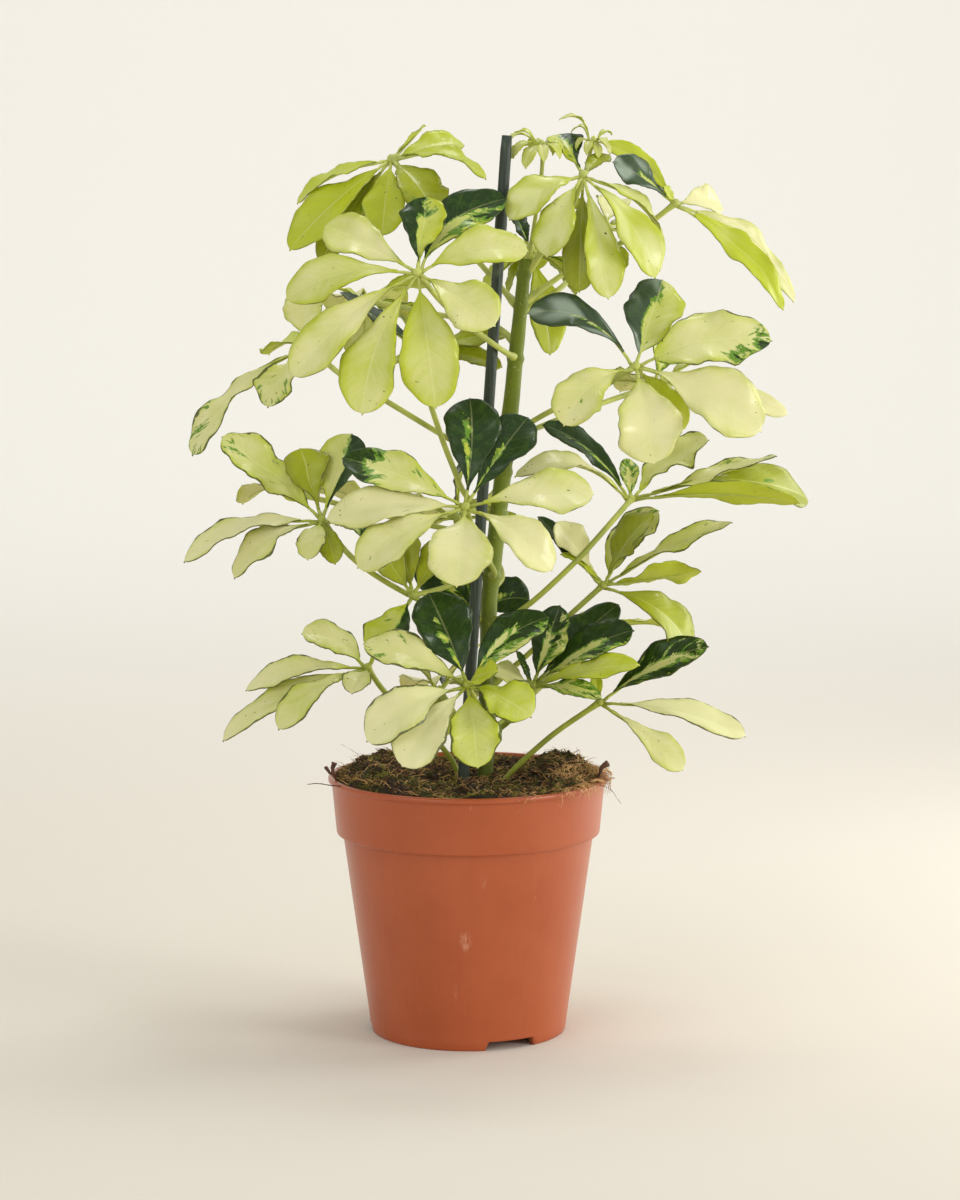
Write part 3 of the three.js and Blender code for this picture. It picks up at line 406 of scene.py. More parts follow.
        [(7, 12, 14, 16, "cream", 2), (-14, 6, 6, 14, "lime", 2), (20, 8, -2, 16, "mixed"),
         (-14, 44, -8, 20, "cream", 5), (18, 48, -4, 22, "edge", 6), (44, 26, 4, 20, "lime", 5)]),
    "back_leaf_low": Leaf(
        (-15, 62, 163), (-0.1, 0.4, 0.9),
        [(8.5, 0, 138), (6, 12, 141), (-5, 38, 151)],
        [(-26, 4, -12, 18, "cream", 4), (-20, 10, 13, 18, "cream"), (1, -2, -25, 18, "lime", 2),
         (21, 12, 22, 18, "cream", 2), (31, 8, -8, 18, "mixed", 4), (-16, 46, -8, 22, "cream", 6),
         (18, 48, -6, 22, "left", 6)]),
    "back_leaf_top": Leaf(
        (70, 58, 402), (0.2, 0.3, 0.93),
        [(27, 0, 360), (44, 9, 370), (60, 34, 386)],
        [(-18, 6, -14, 18, "lime"), (4, -4, -28, 18, "lime"), (23, 6, -14, 18, "cream", 4),
         (-23, 12, 10, 18, "lime"), (-12, 44, -10, 20, "mixed", 6), (22, 42, -10, 20, "lime", 6),
         (6, 36, 14, 18, "cream")]),
    "back_leaf_middle_left": Leaf(
        (-86, 45, 266), (-0.3, 0.3, 0.9),
        [(13, 0, 245), (4, 10, 248), (-40, 30, 256)],
        [(-22, 10, 7, 16, "cream", 2), (2, 17, 19, 16, "dark", 2), (24, 12, 6, 16, "lime", 2),
         (-32, 38, -8, 22, "cream", 6), (-2, 48, -8, 22, "lime", 6), (28, 38, -6, 20, "cream", 5)]),
}
for name, leaf in LEAVES.items():
    LEAVES[name] = leaf._replace(leaflets=[Leaflet(*row) for row in leaf.leaflets])
print("leaves", len(LEAVES), "leaflets", sum(len(leaf.leaflets) for leaf in LEAVES.values()))

# %% [markdown]
# ## Where the colours lie on a leaflet
# A variegated leaf is a patchwork: some cells can't make the green pigment. A finish is five
# shares: how much is dark green, how far the pale part leans from cream (0) to lime (1) to olive
# (2), which half is darker (0 or 1, with 0.5 for neither), how dark the tip is, and how wide the
# dark margin is. A lean above 2.3 adds a painted sheen, a lighter colour that stands in for light
# reflected off the blade: the material takes 2.4 off it again. The shares are kept on the mesh's
# points, so one material can paint every leaf.

# %% Finishes
FINISHES = {
    "cream": (0.05, 0.20, 0.5, 0.0, 0.25),
    "pale": (0.02, 0.12, 0.5, 0.0, 0.15),
    "straw": (0.03, 0.50, 0.5, 0.0, 0.25),
    "rimmed": (0.05, 0.30, 0.5, 0.0, 0.90),
    "young": (0.00, 0.55, 0.5, 0.0, 0.05),
    "lime": (0.05, 0.90, 0.5, 0.0, 0.20),
    # The next two carry a painted sheen, a pale highlight that stands in for reflected light.
    "lime gloss": (0.03, 3.15, 0.5, 0.0, 0.20),
    "rimmed gloss": (0.05, 2.45, 0.5, 0.0, 0.90),
    "lime rimmed": (0.08, 0.62, 0.5, 0.0, 1.00),
    "olive": (0.12, 1.65, 0.5, 0.0, 0.30),
    "edge": (0.16, 0.35, 0.5, 0.2, 1.10),
    "mixed": (0.42, 0.50, 0.5, 0.0, 0.40),
    "patchy": (0.52, 0.75, 0.86, 0.2, 0.60),
    "splashed": (0.72, 0.45, 0.70, 0.25, 0.60),
    "banded": (0.62, 0.20, 0.5, 0.0, 1.10),
    "dark": (1.00, 0.80, 0.5, 0.0, 0.40),
    # The next two carry a painted sheen, grey over their dark green, that stands in for reflected
    # light.
    "gloss": (1.00, 2.90, 0.62, 0.1, 0.40),
    "half gloss": (0.50, 2.90, 1.0, 0.0, 0.30),
    "half under": (0.50, 0.80, 0.2, 0.0, 0.40),
    "left": (0.50, 0.40, 1.0, 0.0, 0.35),
    "right": (0.50, 0.40, 0.0, 0.0, 0.35),
    "tip": (0.22, 0.35, 0.5, 1.0, 0.45),
    "spotted tip": (0.08, 0.25, 0.42, 0.55, 0.60),
}
print("finishes", ", ".join(FINISHES))

# %% [markdown]
# ## The shape of a leaflet
# A leaflet is long and rounded, broadest past its middle, folded a little along its rib, with
# waved margins. It starts as a flat grid, whose points are then moved: along the rib, out to the
# margin, and up or down for the fold, the waves and the slight quilting between the side veins.
# A grid keeps even faces and a tidy UV map, which the veins and the margins' colour follow.

# %% Leaflet blades
BLADE_THICKNESS = 0.5
RIB_FACES, MARGIN_FACES = 34, 10
END_CROWDING = 0.65  # how much closer the faces lie at both ends, where the outline turns
FULLNESS, ROUND_TIP = 0.65, 0.19
LEAFLET_STALK = 0.14  # share of the rib before the blade starts
HUB_RADIUS = 3.0
STALK_HALF_WIDTH, TAIL_NARROWING, TAIL_DROP, TAIL_START = 0.6, 0.35, 0.7, 0.985
FOLD, FOLD_POWER = 0.20, 1.25
WAVE, WAVES_ALONG, WAVE_TURN, WAVE_POWER = 0.065, 1.6, 2.4, 1.7
SMALL_WAVE, SMALL_WAVES_ALONG, SMALL_WAVE_TURN = 0.036, 3.4, 5.1
QUILT_HEIGHT, SIDE_VEINS, VEIN_SLANT = 0.22, 9, 1.6
RIB_GROOVE, RIB_SHARPNESS = 0.35, 9
NICK, FINE_NICK, WANDER = 0.048, 0.026, 0.8


def half_width(blade, leaflet):
    """Half the width of the blade at this share of its length, in millimetres."""
    power = math.log(0.5) / math.log(leaflet.widest)
    swell = max(math.sin(math.pi * blade ** power), 0)
    return (leaflet.width / 2) * swell ** (FULLNESS - ROUND_TIP * blade ** 3)


def leaflet_frame(leaf, leaflet):
    """The rib's direction, the way up and the way to the side, and the leaflet's length."""
    rib = Vector(leaflet[:3])
    along = rib.normalized()
    face = Vector(leaf.face).normalized()
    up = (face - along * face.dot(along)).normalized()
    up.rotate(Quaternion(along, math.radians(leaflet.roll)))
    return along, up, up.cross(along), rib.length


def leaflet_point(leaf, leaflet, share, offset=0.0, rise=0.0):
    """A point in millimetres: share along the rib, offset to the side, rise above the blade."""
    along, up, side, length = leaflet_frame(leaf, leaflet)
    run = (share - HUB_RADIUS / length) / (1 - HUB_RADIUS / length)
    bow = 4 * run * (1 - run)
    slope = math.atan2(4 * leaflet.sway * (1 - 2 * run), length)
    return (Vector(leaf.hub) + along * (length * share - offset * math.sin(slope))
            + side * (leaflet.sway * bow + offset * math.cos(slope))
            + up * (leaflet.arch * bow + rise))


def blade_relief(leaflet, order, share, blade, edge, half, fade):
    """How far a point rises above the rib's plane, in millimetres: fold, waves and quilting."""
    phase = 2 * math.pi * WAVES_ALONG * share + WAVE_TURN * order + (edge > 0) - (edge < 0)
    ripple = WAVE * leaflet.width * leaflet.ruffle ** 0.5 * math.sin(phase)
    phase = 2 * math.pi * SMALL_WAVES_ALONG * share + SMALL_WAVE_TURN * order + 2.1 * edge
    small = SMALL_WAVE * leaflet.width * leaflet.ruffle * math.sin(phase)
    quilt = QUILT_HEIGHT * math.cos(2 * math.pi * (SIDE_VEINS * blade - VEIN_SLANT * abs(edge)))
    quilt *= min(abs(edge) * 4, 1)
    fold = FOLD * half * abs(edge) ** FOLD_POWER
    groove = RIB_GROOVE * math.exp(-(edge * RIB_SHARPNESS) ** 2)
    return fade * (fold + abs(edge) ** WAVE_POWER * (ripple + small) + quilt - groove)


def add_blade(bm, tint, mark, leaf, leaflet, order):
    """Adds one leaflet's blade to the bmesh as a sheet."""
    finish = FINISHES[leaflet.finish]
    seed = (order * 0.37 + abs(leaf.hub[0]) * 0.013) % 1
    grid = bmesh.ops.create_grid(bm, x_segments=RIB_FACES, y_segments=MARGIN_FACES, size=1,
                                 calc_uvs=True)
    for vert in grid["verts"]:
        plain, edge = (vert.co.x + 1) / 2, vert.co.y
        crowded = 0.5 - 0.5 * math.cos(math.pi * plain)
        blade = (1 - END_CROWDING) * plain + END_CROWDING * crowded
        share = LEAFLET_STALK + (1 - LEAFLET_STALK) * blade
        body = min(blade / TAIL_START, 1)
        tail = max(blade - TAIL_START, 0) / (1 - TAIL_START)
        half = max(half_width(body, leaflet), STALK_HALF_WIDTH - TAIL_NARROWING * tail)
        fade = math.sin(math.pi * min(max(body, 0), 1)) ** 0.5
        lift = blade_relief(leaflet, order, share, blade, edge, half, fade) - TAIL_DROP * tail
        nick = NICK * math.sin(14 * share + 3.3 * order + 1.7 * edge + 6 * seed)
        nick += FINE_NICK * math.sin(37 * share + 1.9 * order - 2.3 * edge)
        wander = (leaflet.ruffle - 1) * WANDER * fade * math.sin(11 * share + 2 * order)
        offset = edge * half * (1 + abs(edge) * leaflet.ruffle * nick) + wander
        vert.co = leaflet_point(leaf, leaflet, share, offset, lift) * MM
        vert[tint] = (*finish[:3], 1)
        vert[mark] = (*finish[3:], seed, 1)


print("a blade has", RIB_FACES * MARGIN_FACES, "faces on each side")

# %% [markdown]
# ## Stalks
# A leaf stalk is thick where it clasps the stem and swells again at the hub. Each leaflet has a
# short stalk of its own, which runs on under the blade as its midrib and thins out to nothing.

# %% Leaf stalks, hubs and midribs
STALK_RADIUS, STALK_STEPS, STALK_SIDES = 1.4, 30, 12
HUB_SIZE, HUB_LUMPS, LUMPS_A_METRE = 2.2, 0.12, 900
RIB_STEPS, RIB_START, RIB_RUN, RIB_SIDES = 12, 0.02, 0.86, 7
RIB_THICK, RIB_THINNING = 0.72, 0.5


def add_stalk(bm, leaf):
    path = smooth_path([*leaf.stalk, leaf.hub], STALK_STEPS)
    fine = 0.5 + 0.5 * leaf.fine
    radii = []
    for i in range(len(path)):
        share = i / (len(path) - 1)
        clasp = 0.9 * math.exp(-((share - 0.04) / 0.10) ** 2)
        swell = clasp + 0.6 * math.exp(-((1 - share) / 0.035) ** 2)
        radii.append((STALK_RADIUS + swell) * fine * MM)
    sweep(bm, [(path, radii)], STALK_SIDES)


def midrib(leaf, leaflet):
    length = Vector(leaflet[:3]).length
    path, radii = [], []
    for i in range(RIB_STEPS + 1):
        share = RIB_START + RIB_RUN * i / RIB_STEPS
        swell = 0.35 * math.exp(-((share * length - 2.5) / 2.5) ** 2)
        thick = RIB_THICK - RIB_THINNING * max((share - LEAFLET_STALK) / 0.74, 0)
        sink = (0.35 + 0.75 * thick) * leaf.fine if share > LEAFLET_STALK else 0.1
        path.append(leaflet_point(leaf, leaflet, share, 0, -sink) * MM)
        radii.append((thick + swell) * leaf.fine * MM)
    return path, radii


def add_hub(bm, leaf):
    centre = Vector(leaf.hub) * MM
    made = bmesh.ops.create_icosphere(bm, subdivisions=3, radius=HUB_SIZE * leaf.fine * MM,
                                      matrix=Matrix.Translation(centre))
    for vert in made["verts"]:
        vert.co += (vert.co - centre) * HUB_LUMPS * noise.noise(vert.co * LUMPS_A_METRE)


print("stalks are", 2 * STALK_RADIUS, "mm thick")

# %% [markdown]
# ## The leaf's finish
# A leaf is waxy: a soft gloss over a coloured body. The dark patches have crisp, ragged borders,
# so the noise that places them goes through a narrow smooth step. The margin's thin dark line and
# the specks are drawn the same way. Patches and margin follow the blade's UV map, from hub to tip,
# and the specks and the mottling read Object coordinates.

# %% Leaf colours
CREAM = linear("#e2dea3")
LIME = linear("#b9c42b")
OLIVE = linear("#959c22")
DEEP_GREEN = linear("#1f3808")
MID_GREEN = linear("#67902a")
DARK_MOTTLE = linear("#3d5c14")
VEIN_PALE = linear("#e0e29c")
# The next two colours are painted reflections: grey on the dark green and pale yellow-white on the pale
# part, standing in for light off the waxy blades.
PAINTED_GREY_REFLECTION = linear("#95a491")
PAINTED_WHITE_HIGHLIGHT = linear("#f4f4bc")
MARGIN_BROWN = linear("#414a18")
print("cream in linear light", [round(v, 3) for v in CREAM[:3]])

# %% Leaf materials
def leaf_material(name, tone, roughness, coat):
    """tone is (share, colour) that the whole face is turned towards."""
    made, add, shader = new_material(name)
    place = add("TexCoord", out="Object")
    along, across = (add("SeparateXYZ", add("UVMap", uv_map="blade"), out=axis) for axis in "XY")
    tint, mark = (add("Attribute", attribute_name=layer) for layer in ("tint", "mark"))
    dark, pale, half = (add("SeparateColor", tint, out=part) for part in ("Red", "Green", "Blue"))
    tip, margin, seed = (add("SeparateColor", mark, out=part) for part in ("Red", "Green", "Blue"))

    def swing(value, reach):
        """What a value from 0 to 1 adds or takes off, up to half of reach."""
        return add("Math", add("Math", value, 0.5, **MINUS), reach)

    # Patches and streaks run outwards along the side veins, with ragged borders
    away = add("Math", add("Math", add("Math", across, 2.0), 1.0, **MINUS), **UNSIGNED)
    slant = add("Math", add("Math", along, 3.0), add("Math", away, 0.55), **MINUS)
    flow = add("CombineXYZ", slant, across, add("Math", seed, 19.0))
    patches = add("TexNoise", flow, Scale=2.4, Detail=6.0, Roughness=0.62, Distortion=0.35)
    streaky = add("Mapping", flow, Scale=(9.0, 2.2, 1.0))
    streaks = add("TexNoise", streaky, Scale=1.0, Detail=4.0, Roughness=0.6)
    lean = add("Math", add("Math", across, 0.5, **MINUS), add("Math", half, 0.5, **MINUS))
    dark_tip = add("Math", tip, add("MapRange", along, 0.45, 0.95, 0.0, 0.7))
    field = dark
    for part in (swing(patches, 1.5), add("Math", lean, 4.0), dark_tip, swing(streaks, 0.5)):
        field = add("Math", field, part, **PLUS)

    # A pale streak often runs out from the hub beside the rib
    shifted = add("Math", across, swing(seed, 0.22), **PLUS)
    from_streak = add("Math", add("Math", shifted, 0.5, **MINUS), **UNSIGNED)
    streak = add("Math", add("MapRange", from_streak, 0.01, 0.19, 0.6, 0.0),
                 add("MapRange", along, 0.4, 0.85, 1.0, 0.0))
    field = add("Math", field, streak, **MINUS)
    green = add("MapRange", field, 0.54, 0.58)
    border = add("MapRange", field, 0.34, 0.40)

    # The margin's line, broken up so that it comes and goes
    broken = add("TexNoise", place, Scale=160.0, Detail=3.0)
    to_end = add("Math", add("Math", 1.0, along, **MINUS), 5.0)
    to_side = add("Math", 1.0, away, **MINUS)
    to_edge = add("Math", to_side, to_end, operation="MINIMUM")
    here = add("Math", add("MapRange", broken, 0.32, 0.72, 0.2, 1.0), 0.15)
    past = add("Math", to_edge, add("Math", margin, here), **MINUS)
    line = add("MapRange", past, -0.035, 0.0, 1.0, 0.0)

    # Specks of 1 to 2 mm
    specks = add("TexNoise", place, Scale=520.0, Detail=2.0)
    rare = add("MapRange", add("TexNoise", place, Scale=60.0), 0.5, 0.6)
    speck = add("Math", add("MapRange", specks, 0.70, 0.74), rare)
    brown = add("Math", add("Math", line, 0.85), speck, operation="MAXIMUM")

    # The painted sheen, a lighter colour that stands in for reflected light, lies in soft pools, inside
    # the margins of the blades that shine
    cloud = add("TexNoise", place, Scale=38.0, Detail=3.0)
    soft = add("TexNoise", flow, Scale=1.2, Detail=0.5)
    painted_sheen = add("Math", add("MapRange", pale, 2.3, 2.5),
                add("MapRange", soft, 0.40, 0.60, 0.12, 0.95))
    painted_sheen = add("Math", painted_sheen, add("MapRange", away, 0.60, 1.0, 1.0, 0.35))

    # The pale part leans more to lime near the hub and the margin, and in clouds
    pale = add("Math", pale, add("MapRange", pale, 2.2, 2.3, 0.0, 2.4), **MINUS)
    near_hub = add("MapRange", along, 0.0, 0.35, 0.45, 0.0)
    near_margin = add("MapRange", away, 0.55, 1.0, 0.0, 0.3)
    for part in (swing(cloud, 1.0), swing(streaks, 0.35), near_hub, near_margin, swing(seed, 0.25)):
        pale = add("Math", pale, part, **PLUS)
    body = add("Mix", add("MapRange", pale, 0.0, 1.0), CREAM, LIME)
    body = add("Mix", add("MapRange", pale, 1.0, 2.0), body, OLIVE)
    # Painted highlight: the pale part turns pale yellow-white where the painted sheen lies
    body = add("Mix", add("Math", painted_sheen, 0.45), body, PAINTED_WHITE_HIGHLIGHT)

    # Mid green lies as mottling round the dark patches, and a darker one on them
    mottle = add("TexNoise", place, Scale=190.0, Detail=5.0, Roughness=0.75)
    mixed = add("Math", border, add("MapRange", mottle, 0.36, 0.50))
    colour = add("Mix", mixed, body, MID_GREEN)
    lighter = add("MapRange", mottle, 0.48, 0.62, 0.0, 0.42)
    deep = add("Mix", lighter, DEEP_GREEN, DARK_MOTTLE)
    # Painted reflection: the dark green turns grey where the painted sheen lies
    deep = add("Mix", painted_sheen, deep, PAINTED_GREY_REFLECTION)
    colour = add("Mix", green, colour, deep)
    colour = add("Mix", brown, colour, MARGIN_BROWN)

    # The midrib and the side veins are paler than the blade between them
    rib = add("MapRange", away, 0.015, 0.05, 0.75, 0.0)
    veins = add("Math", add("Math", along, SIDE_VEINS),
                add("Math", away, VEIN_SLANT), **MINUS)
    veins = add("Math", add("Math", veins, operation="FRACT"), 0.5, **MINUS)
    vein = add("MapRange", add("Math", veins, **UNSIGNED), 0.0, 0.07, 0.16, 0.0)
    pale_lines = add("Math", add("Math", rib, vein, operation="MAXIMUM"),
                     add("MapRange", field, 0.3, 0.9, 1.0, 0.35))
    paler = add("Mix", 0.5, colour, VEIN_PALE)
    colour = add("Mix", pale_lines, colour, paler)
    colour = add("Mix", tone[0], colour, tone[1])
    relief = add("Math", add("Math", vein, -1.2), add("Math", mottle, 0.5), **PLUS)
    dress(shader, {"Base Color": colour, "Roughness": roughness, "IOR": 1.42,
                   "Specular IOR Level": 0.3, "Coat Weight": coat, "Coat Roughness": 0.17,
                   "Normal": add("Bump", Strength=0.35, Distance=0.0004, Height=relief)})
    return made


leaf_face = leaf_material("waxy_variegated_leaf_upper_face", (0.0, CREAM), 0.36, 0.26)
leaf_under = leaf_material("matt_variegated_leaf_underside", (0.42, linear("#b0b83c")), 0.6, 0.0)
print("leaf materials", leaf_face.name, leaf_under.name)

# %% [markdown]
# ## Stalk and stem finish
# Young stems of this plant are bright yellow-green and smooth. Lower down, the bark turns greyer
# and carries pale corky specks. The colour therefore follows the height, with a fine noise on it.

# %% Stalk and stem materials
def green_skin(name, low, high, low_height, high_height, roughness):
    """low and high are the colours at the two heights, which are in metres."""
    made, add, shader = new_material(name)
    place = add("TexCoord", out="Object")
    height = add("SeparateXYZ", place, out="Z")
    rise = add("MapRange", height, low_height, high_height)
    colour = add("Mix", rise, linear(low), linear(high))
    colour, _ = noise_coat(add, place, colour, "#4e6116", (0.35, 0.7, 0.0, 0.35),
                           Scale=90.0, Detail=4.0)
    colour, corky = noise_coat(add, place, colour, "#b9b27c", (0.66, 0.72, 0.0, 0.6),
                               Scale=650.0, Detail=2.0)
    dress(shader, {"Base Color": colour, "Roughness": roughness,
                   "Normal": add("Bump", Strength=0.3, Distance=0.0004, Height=corky)})
    return made


stalk_skin = green_skin("smooth_green_leaf_stalk", "#a1aa36", "#cbd16c", 0.12, 0.445, 0.5)
stem_skin = green_skin("green_bark_of_young_stem", "#5a640f", "#77860f", 0.13, 0.26, 0.55)
print("stem materials", stalk_skin.name, stem_skin.name)

# %% [markdown]
# ## Putting the leaves together
# Each leaf becomes two pieces, because a blade is a sheet that gets its thickness from a modifier
# and a stalk is a solid tube. The modifier also gives the blade's other side its own finish.

# %% Build every leaf
for name, leaf in LEAVES.items():
    sheet = bmesh.new()
    sheet.loops.layers.uv.new("blade")
    tint = sheet.verts.layers.float_color.new("tint")
    mark = sheet.verts.layers.float_color.new("mark")
    for order, leaflet in enumerate(leaf.leaflets):
        add_blade(sheet, tint, mark, leaf, leaflet, order)
    blades = show_piece(name + "_blades", sheet, [leaf_face, leaf_under], [name])
    thick = blades.modifiers.new("blade thickness", "SOLIDIFY")
    thick.thickness = BLADE_THICKNESS * leaf.fine * MM
    thick.offset = 0
    thick.material_offset = 1
    stems = bmesh.new()
    add_stalk(stems, leaf)
    add_hub(stems, leaf)
    sweep(stems, [midrib(leaf, leaflet) for leaflet in leaf.leaflets], RIB_SIDES)
    show_piece(name + "_stalks", stems, [stalk_skin])
print("leaf objects", 2 * len(LEAVES))

# %% [markdown]
# ## The stem and the stake
# The stem leans a little to the right as it climbs and swells at each knot, where a leaf was or
# is, with a fine groove above it. It is a tube with many rings, so that its swellings are real
# shape, which a bump in the finish would lose at the outline.

# %% Stem
STEM_LEAN = [(72, 6.5), (124, 8.4), (217, 10.4), (267, 15.8), (316, 21.4), (366, 26.3), (387, 28.2)]
STEM_KNOTS = [158, 172, 206, 229, 260, 281, 299, 337, 363, 378]
STEM_FOOT, STEM_RINGS, RING_SPACING, STEM_SIDES = 72, 252, 1.25, 28
STEM_RADIUS, STEM_SWELL, STEM_THINNING = 4.0, 0.3, 1.3
KNOT_HEIGHT, GROOVE_DEPTH = 0.75, 0.25


def stem_lean(height):
    for (low, low_x), (high, high_x) in zip(STEM_LEAN, STEM_LEAN[1:]):
        if height <= high:
            return low_x + (high_x - low_x) * (height - low) / (high - low)
    return STEM_LEAN[-1][1]


def stem_radius(height):
    radius = STEM_RADIUS + STEM_SWELL * min(max((height - STEM_FOOT) / 228, 0), 1)
    radius -= STEM_THINNING * max((height - 300) / 87, 0)
    for knot in STEM_KNOTS:
        radius += KNOT_HEIGHT * math.exp(-((height - knot) / 1.6) ** 2)
        radius -= GROOVE_DEPTH * math.exp(-((height - knot - 3) / 0.8) ** 2)
    return radius + 0.12 * noise.noise(Vector((0, 0, height * 0.11)))


stem_mesh = bmesh.new()
stem_heights = [STEM_FOOT + RING_SPACING * i for i in range(STEM_RINGS)]
stem_path = [Vector((stem_lean(h), 0, h)) * MM for h in stem_heights]
stem_radii = [max(stem_radius(h), 0.5) * MM for h in stem_heights]
sweep(stem_mesh, [(stem_path, stem_radii)], STEM_SIDES)
for vert in stem_mesh.verts:
    x, y, z = vert.co
    centre = Vector((stem_lean(z / MM) * MM, 0, z))
    vert.co += (vert.co - centre) * 0.05 * noise.noise(Vector((x * 160, y * 160, z * 45)))
show_piece("stem_skin", stem_mesh, [stem_skin], ["stem"])
print("stem rings", len(stem_heights), "knots", len(STEM_KNOTS))

# %% [markdown]
# The stake is a straight round cane stained dark green. Its three slight joints show where the
# cane's knots were planed off.

# %% Stake
STAKE_RADIUS, STAKE_END, STAKE_RINGS, STAKE_SIDES = 2.78, 2.45, 60, 24
STAKE_JOINTS, JOINT_HEIGHT = (0.34, 0.62, 0.9), 0.22


def stained_cane():
    """Split and planed cane, dip-stained green: fine lines lengthwise and a dull gloss."""
    made, add, shader = new_material("dark_green_stained_cane")
    place = add("TexCoord", out="Object")
    lengthwise = add("Mapping", place, Scale=(900, 900, 22))
    colour, grain = noise_coat(add, lengthwise, linear("#1f2a20"), "#3d4a3a", (0.35, 0.7),
                               Scale=1.0, Detail=4.0)
    colour, _ = noise_coat(add, place, colour, "#6a6f58", (0.62, 0.72, 0.0, 0.5),
                           Scale=45.0, Detail=6.0)
    dress(shader, {"Base Color": colour, "Roughness": 0.5,
                   "Normal": add("Bump", Strength=0.4, Distance=0.0003, Height=grain)})
    return made


stake_mesh = bmesh.new()
stake_foot, stake_head = Vector((-10, -9, 16)), Vector((19, -9, 445.6))
stake_path, stake_radii = [], []
for i in range(STAKE_RINGS + 1):
    share = i / STAKE_RINGS
    stake_path.append(stake_foot.lerp(stake_head, share) * MM)
    joint = sum(JOINT_HEIGHT * math.exp(-((share - j) / 0.006) ** 2) for j in STAKE_JOINTS)
    stake_radii.append((STAKE_RADIUS + joint) * MM)
stake_radii[-1] = STAKE_END * MM
sweep(stake_mesh, [(stake_path, stake_radii)], STAKE_SIDES)
show_piece("stake_cane", stake_mesh, [stained_cane()], ["stake"])
print("stake", round((stake_head - stake_foot).length), "mm long")

# %% [markdown]
# ## The pot
# A nursery pot is blow-formed or injection-moulded polypropylene: a lip, a straight band under it
# and a tapering body. Its outline is drawn once, in the XZ plane, and spun round the Z axis. The
# foot is notched at three places so that water can run out from under it.

# %% Pot's measures
RIM_RADIUS, POT_HEIGHT, BAND_HEIGHT, FOOT_RADIUS = 70.0, 129.3, 28.3, 48.9
LIP_HEIGHT, LIP_OVERHANG, BAND_TAPER, BAND_STEP, WALL, FLOOR_LIFT = 2.8, 1.7, 2.4, 3.2, 1.4, 5.0
HUB_DISC, DRAIN_COUNT, DRAIN_RADIUS, DRAIN_CIRCLE = 20.0, 8, 4.0, 33.0
band_low = RIM_RADIUS - LIP_OVERHANG - BAND_TAPER
body_top = band_low - BAND_STEP
band_z = POT_HEIGHT - BAND_HEIGHT
band_top = POT_HEIGHT - LIP_HEIGHT
lip_under = RIM_RADIUS - LIP_OVERHANG
print("band from", round(band_z, 1), "to", round(band_top, 1), "mm high")

# %% [markdown]
# The outline runs out along the floor's underside, up the outside, over the lip and back down the
# inside. Its rounded corners are points a fraction of a millimetre apart, which catch the light.

# %% Pot's outline
MERGE = 1e-6  # metres


def spin_profile(bm, profile, steps):
    """Draws the profile of (radius, height) points in millimetres and spins it once round Z."""
    verts = [bm.verts.new((r * MM, 0, z * MM)) for r, z in profile]
    edges = [bm.edges.new(pair) for pair in zip(verts, verts[1:])]
    bmesh.ops.spin(bm, geom=verts + edges, cent=(0, 0, 0), axis=(0, 0, 1), angle=2 * math.pi,
                   steps=steps, use_merge=True)
    bmesh.ops.remove_doubles(bm, verts=bm.verts[:], dist=MERGE)
    bmesh.ops.recalc_face_normals(bm, faces=bm.faces[:])


def beside(radius, *points):
    """Points given by how far out they are from a radius, and their height."""
    return [(radius + out, z) for out, z in points]


# Out along the raised floor's underside, round the foot ring, up the body, the band and the lip
drain_rings = [DRAIN_CIRCLE + step for step in (-5.3, -4, -2.7, -1.3, 0, 1.3, 2.7, 4, 5.3)]
outside = [(0, 0), (8, 0), *beside(HUB_DISC, (-0.5, 0), (0, 0.3), (2, FLOOR_LIFT))]
outside += [(r, FLOOR_LIFT) for r in drain_rings]
outside += beside(FOOT_RADIUS, (-5, FLOOR_LIFT), (-3.2, 4.6), (-3, 0.3), (-2.7, 0), (-0.7, 0),
                  (-0.2, 0.3), (0, 0.9), (0.7, 4.6))
slope = (body_top - FOOT_RADIUS) / (band_z - 1 - 0.8)
body_heights = (5.2, 12, 24, 40, 58, 76, 90, band_z - 2.2)
outside += [(FOOT_RADIUS + slope * (z - 0.8), z) for z in body_heights]
outside += beside(body_top, (-0.1, band_z - 1.1), (0.3, band_z - 0.5))
outside += beside(band_low, (-0.7, band_z - 0.25), (-0.2, band_z - 0.1), (0, band_z + 0.4))
outside += [(band_low + (lip_under - band_low) * s, band_z + (band_top - band_z) * s)
            for s in (0.06, 0.3, 0.6, 0.94)]
outside += beside(lip_under, (0, band_top - 0.3), (0.3, band_top))
outside += beside(RIM_RADIUS, (-0.4, band_top + 0.2), (0, band_top + 0.6), (0, POT_HEIGHT - 1.0),
                  (-0.25, POT_HEIGHT - 0.3), (-0.8, POT_HEIGHT))

# Back down the inside and in along the floor's upper side
inside = beside(lip_under - WALL, (0.5, POT_HEIGHT), (0, POT_HEIGHT - 0.5))
inside += beside(band_low - WALL, (0.1, band_z + 2), (-0.4, band_z + 0.8))
inside += beside(body_top - WALL, (0.3, band_z - 0.1), (0, band_z - 1))
inside += beside(FOOT_RADIUS - WALL, (2, 20), (0.8, FLOOR_LIFT + WALL + 0.5), (0, FLOOR_LIFT + WALL))
inside += [(r, FLOOR_LIFT + WALL) for r in reversed(drain_rings)]
inside += beside(HUB_DISC, (1, FLOOR_LIFT + WALL), (-1, WALL)) + [(0, WALL)]
print("outline points", len(outside + inside))

# %% Spin and notch the pot
POT_STEPS = 180
NOTCH_ANGLES, NOTCH_HALF_ANGLE, NOTCH_HEIGHT = (-64, 56, 176), 15, 4.6

